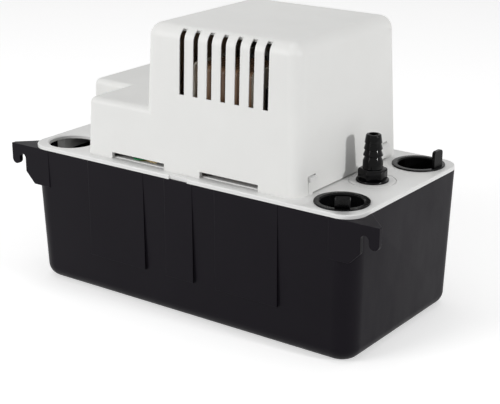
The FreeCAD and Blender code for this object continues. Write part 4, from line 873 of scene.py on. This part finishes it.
def fanBlade(f):
    # a bowed sheet that twists from the hub out to the tip
    points, faces = [], []
    rows, columns = f["rows"], f["columns"]
    middle = f["low"] + f["height"] / 2
    for row in range(rows):
        out = row / (rows - 1)
        radius = f["hubRadius"] - f["rootSink"] + out * (f["tip"] - f["hubRadius"] + f["rootSink"])
        pitch = math.radians(f["rootPitch"] + out * (f["tipPitch"] - f["rootPitch"]))
        chord = f["rootChord"] + out * (f["tipChord"] - f["rootChord"])
        if row == rows - 1:
            chord *= f["tipTaper"]
        for column in range(columns):
            along = column / (columns - 1) * 2 - 1
            side = along * chord / 2 * math.cos(pitch)
            rise = -along * chord / 2 * math.sin(pitch) + f["camber"] * (1 - along ** 2)
            points.append((math.sqrt(radius ** 2 - side ** 2), side, middle + rise - f["camber"] / 2))
    for row in range(rows - 1):
        for column in range(columns - 1):
            first = row * columns + column
            faces.append((first, first + columns, first + columns + 1, first + 1))
    return meshFrom("fanBlade", points, faces)


def hubProfile(f):
    low, high = f["low"], f["low"] + f["height"]
    outer, bore, edge = f["hubRadius"], f["bore"], f["hubEdge"]
    return [
        (bore, low), (outer - edge, low), (outer, low + edge), (outer, high - edge),
        (outer - edge, high), (outer - 2 * edge, high), (outer - 3 * edge, high - edge),
        (bore + edge, high - edge), (bore, high - edge),
    ]


axis = (motor["x"], motor["y"], 0)
coolingFan = ruled(linked(fanBlade(fan), "coolingFan"), ringRule, {
    "Count": fan["blades"], "Centre": axis, "First Angle": 0.0, "Finish": finish["fanPlastic"],
})
skin = coolingFan.modifiers.new("bladeThickness", "SOLIDIFY")
skin.thickness = fan["thickness"]
skin.offset = 0
frozen(softened(coolingFan, fan["softEdge"], fan["softOver"]))
oneMesh(coolingFan, [turned("fanHub", hubProfile(fan), axis, "fanPlastic")])
sharpen(coolingFan.data, fan["crease"])
settled(coolingFan, "cooling_fan", "fanPlastic")
print("fan made")

lamination = {"count": 38, "share": 0.93, "slack": 0.00002, "crease": 30}


def sheetStack(node, name):
    # the node's outline pressed into one thin sheet, then stacked to its height
    low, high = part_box(node)
    pitch = (high[2] - low[2]) / lamination["count"]
    obj = mergedCopy(node, name)
    for vertex in obj.data.vertices:
        vertex.co.z = 0 if vertex.co.z < (low[2] + high[2]) / 2 else pitch * lamination["share"]
    ruled(obj, rowRule, {
        "Count": lamination["count"], "Step": (0, 0, pitch), "Start": (0, 0, low[2]),
        "Slack": lamination["slack"], "Finish": finish["coreSteel"],
    })
    sharpen(obj.data, lamination["crease"])
    return settled(obj, node, "coreSteel")


sheetStack("stator_core", "statorSheets")
sheetStack("coil_core", "coilLegSheets")
print("lamination stacks made")

wrap = {
    "turns": 11, "corner": 0.004, "cornerSteps": 6, "tape": 0.0003, "under": 0.0006, "crease": 35,
}


def wrapRing(low, high, inset, x):
    # one ring of points round the coil, with round corners
    ring = []
    radius, steps = wrap["corner"], wrap["cornerSteps"]
    reach = radius - inset
    for turn, (ySide, zSide) in enumerate(((1, 1), (-1, 1), (-1, -1), (1, -1))):
        y = (high if ySide > 0 else low)[1] - ySide * radius
        z = (high if zSide > 0 else low)[2] - zSide * radius
        for step in range(steps + 1):
            angle = math.radians(90 * turn + 90 * step / steps)
            ring.append((x, y + reach * math.cos(angle), z + reach * math.sin(angle)))
    return ring


def makeWrap():
    # overlapping turns of tape, each one a band that slips under the next
    low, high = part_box("coil_winding")
    pitch = (high[0] - low[0]) / wrap["turns"]
    rings = [
        wrapRing(low, high, wrap["under"], 0), wrapRing(low, high, wrap["tape"], 0),
        wrapRing(low, high, 0, pitch), wrapRing(low, high, wrap["under"], pitch),
    ]
    around = len(rings[0])
    faces = []
    for layer in range(len(rings)):
        after = (layer + 1) % len(rings)
        for step in range(around):
            following = (step + 1) % around
            faces.append((
                layer * around + step, layer * around + following,
                after * around + following, after * around + step,
            ))
    obj = linked(meshFrom("coilWrap", sum(rings, []), faces), "coilWrap")
    ruled(obj, rowRule, {
        "Count": wrap["turns"], "Step": (pitch, 0, 0), "Start": (low[0], 0, 0), "Slack": 0.0,
        "Finish": finish["coilTape"],
    })
    sharpen(obj.data, wrap["crease"])
    return settled(obj, "coil_winding", "coilTape")


makeWrap()
print("coil wrap made")

# the nodes kept as they come get a finish only
keptNodes = {
    "sealRubber": ("valve_seat", "shaft_slinger"),
    "pumpPlastic": (
        "check_poppet", "discharge_pipe", "volute_housing", "intake_cover", "pump_column", "impeller",
        "float_arm",
    ),
    "floatFoam": ("float",),
    "bobbinPlastic": ("coil_bobbin",),
    "switchPlastic": ("run_switch", "safety_switch"),
    "plungerPlastic": ("run_switch_plunger", "safety_switch_plunger"),
    "zincSteel": (
        "lower_bearing_bracket", "upper_bearing_bracket", "motor_screws", "switch_bracket",
        "switch_screws", "bracket_screw",
    ),
    "brightSteel": (
        "motor_shaft", "float_screws", "pivot_pin", "run_switch_lever", "safety_switch_lever",
        "column_screws", "volute_screws",
    ),
    "coreSteel": ("motor_rotor",),
    "bronzeMetal": ("lower_bearing", "upper_bearing"),
    "copperMetal": ("shading_rings",),
    "brassMetal": ("switch_terminals", "earth_terminal"),
}
for material, names in keptNodes.items():
    for name in names:
        nodes[name].data.materials.clear()
        nodes[name].data.materials.append(finish[material])
print("finishes set")

stageLook = {
    "floorHalf": 3, "floorColour": (0.8, 0.8, 0.8, 1), "floorRough": 0.9, "floorGlow": 0.45,
    "white": (1, 1, 1, 1), "worldLevel": 0.33, "seenLevel": 1.0, "aim": (0, 0, 0.08),
    "key": {"place": (-0.75, -1.5, 0.75), "size": 0.9, "power": 17.2},
    "side": {"place": (1.6, 0.0, 0.55), "size": 0.14, "power": 10.8},
    "top": {"place": (-0.1, 0.1, 1.7), "size": 1.2, "power": 5.4},
}


def seenDirectly(tree):
    # 1 for rays that look at the backdrop, straight or by a mirror or glass
    rays = put(tree, "ShaderNodeLightPath").outputs
    straight = maths(tree, "MAXIMUM", rays["Is Camera Ray"], rays["Is Transmission Ray"])
    return maths(tree, "MAXIMUM", straight, rays["Is Glossy Ray"])


def makeStage(look):
    half = look["floorHalf"]
    mesh = meshFrom("floor", boxPoints(-half, half, -half, half, 0), [(0, 1, 2, 3)])
    floor = linked(mesh, "floor")
    mat, tree, shader = startMaterial("floorPaper")
    shader.inputs["Base Color"].default_value = look["floorColour"]
    shader.inputs["Roughness"].default_value = look["floorRough"]
    shader.inputs["Emission Color"].default_value = look["white"]
    glow = maths(tree, "MULTIPLY", seenDirectly(tree), look["floorGlow"])
    tree.links.new(glow, shader.inputs["Emission Strength"])
    mesh.materials.append(mat)

    world = bpy.data.worlds.new("studio")
    scene.world = world
    world.use_nodes = True
    tree = world.node_tree
    tree.nodes.clear()
    lit = put(tree, "ShaderNodeBackground", Color=look["white"], Strength=look["worldLevel"])
    seen = put(tree, "ShaderNodeBackground", Color=look["white"], Strength=look["seenLevel"])
    mix = tree.nodes.new("ShaderNodeMixShader")
    out = tree.nodes.new("ShaderNodeOutputWorld")
    tree.links.new(seenDirectly(tree), mix.inputs["Fac"])
    tree.links.new(lit.outputs[0], mix.inputs[1])
    tree.links.new(seen.outputs[0], mix.inputs[2])
    tree.links.new(mix.outputs[0], out.inputs["Surface"])


def areaLight(name, facts, aim):
    lamp = bpy.data.lights.new(name, "AREA")
    lamp.shape = "SQUARE"
    lamp.size = facts["size"]
    lamp.energy = facts["power"]
    obj = bpy.data.objects.new(name, lamp)
    obj.location = facts["place"]
    obj.rotation_euler = (Vector(aim) - obj.location).to_track_quat("-Z", "Y").to_euler()
    scene.collection.objects.link(obj)


makeStage(stageLook)
for name in ("key", "side", "top"):
    areaLight(name + "Light", stageLook[name], stageLook["aim"])

cameraFacts = {
    "place": (0.4722, -0.6404, 0.3339), "around": 35.97, "down": 19.07, "lens": 94.41,
    "sensor": 36.0, "nearest": 0.01,
}


def makeCamera(facts):
    lens = bpy.data.cameras.new("camera")
    lens.sensor_width = facts["sensor"]
    lens.sensor_fit = "HORIZONTAL"
    lens.lens = facts["lens"]
    lens.clip_start = facts["nearest"]
    camera = bpy.data.objects.new("camera", lens)
    scene.collection.objects.link(camera)
    turn = math.radians(facts["around"])
    drop = math.radians(facts["down"])
    back = Vector((math.sin(turn) * math.cos(drop), -math.cos(turn) * math.cos(drop), math.sin(drop)))
    right = Vector((math.cos(turn), math.sin(turn), 0))
    up = back.cross(right)
    axes = Matrix((right, up, back)).transposed().to_4x4()
    camera.matrix_world = Matrix.Translation(facts["place"]) @ axes
    scene.camera = camera


makeCamera(cameraFacts)
scene.view_settings.view_transform = "Standard"
print("stage, light and camera set")
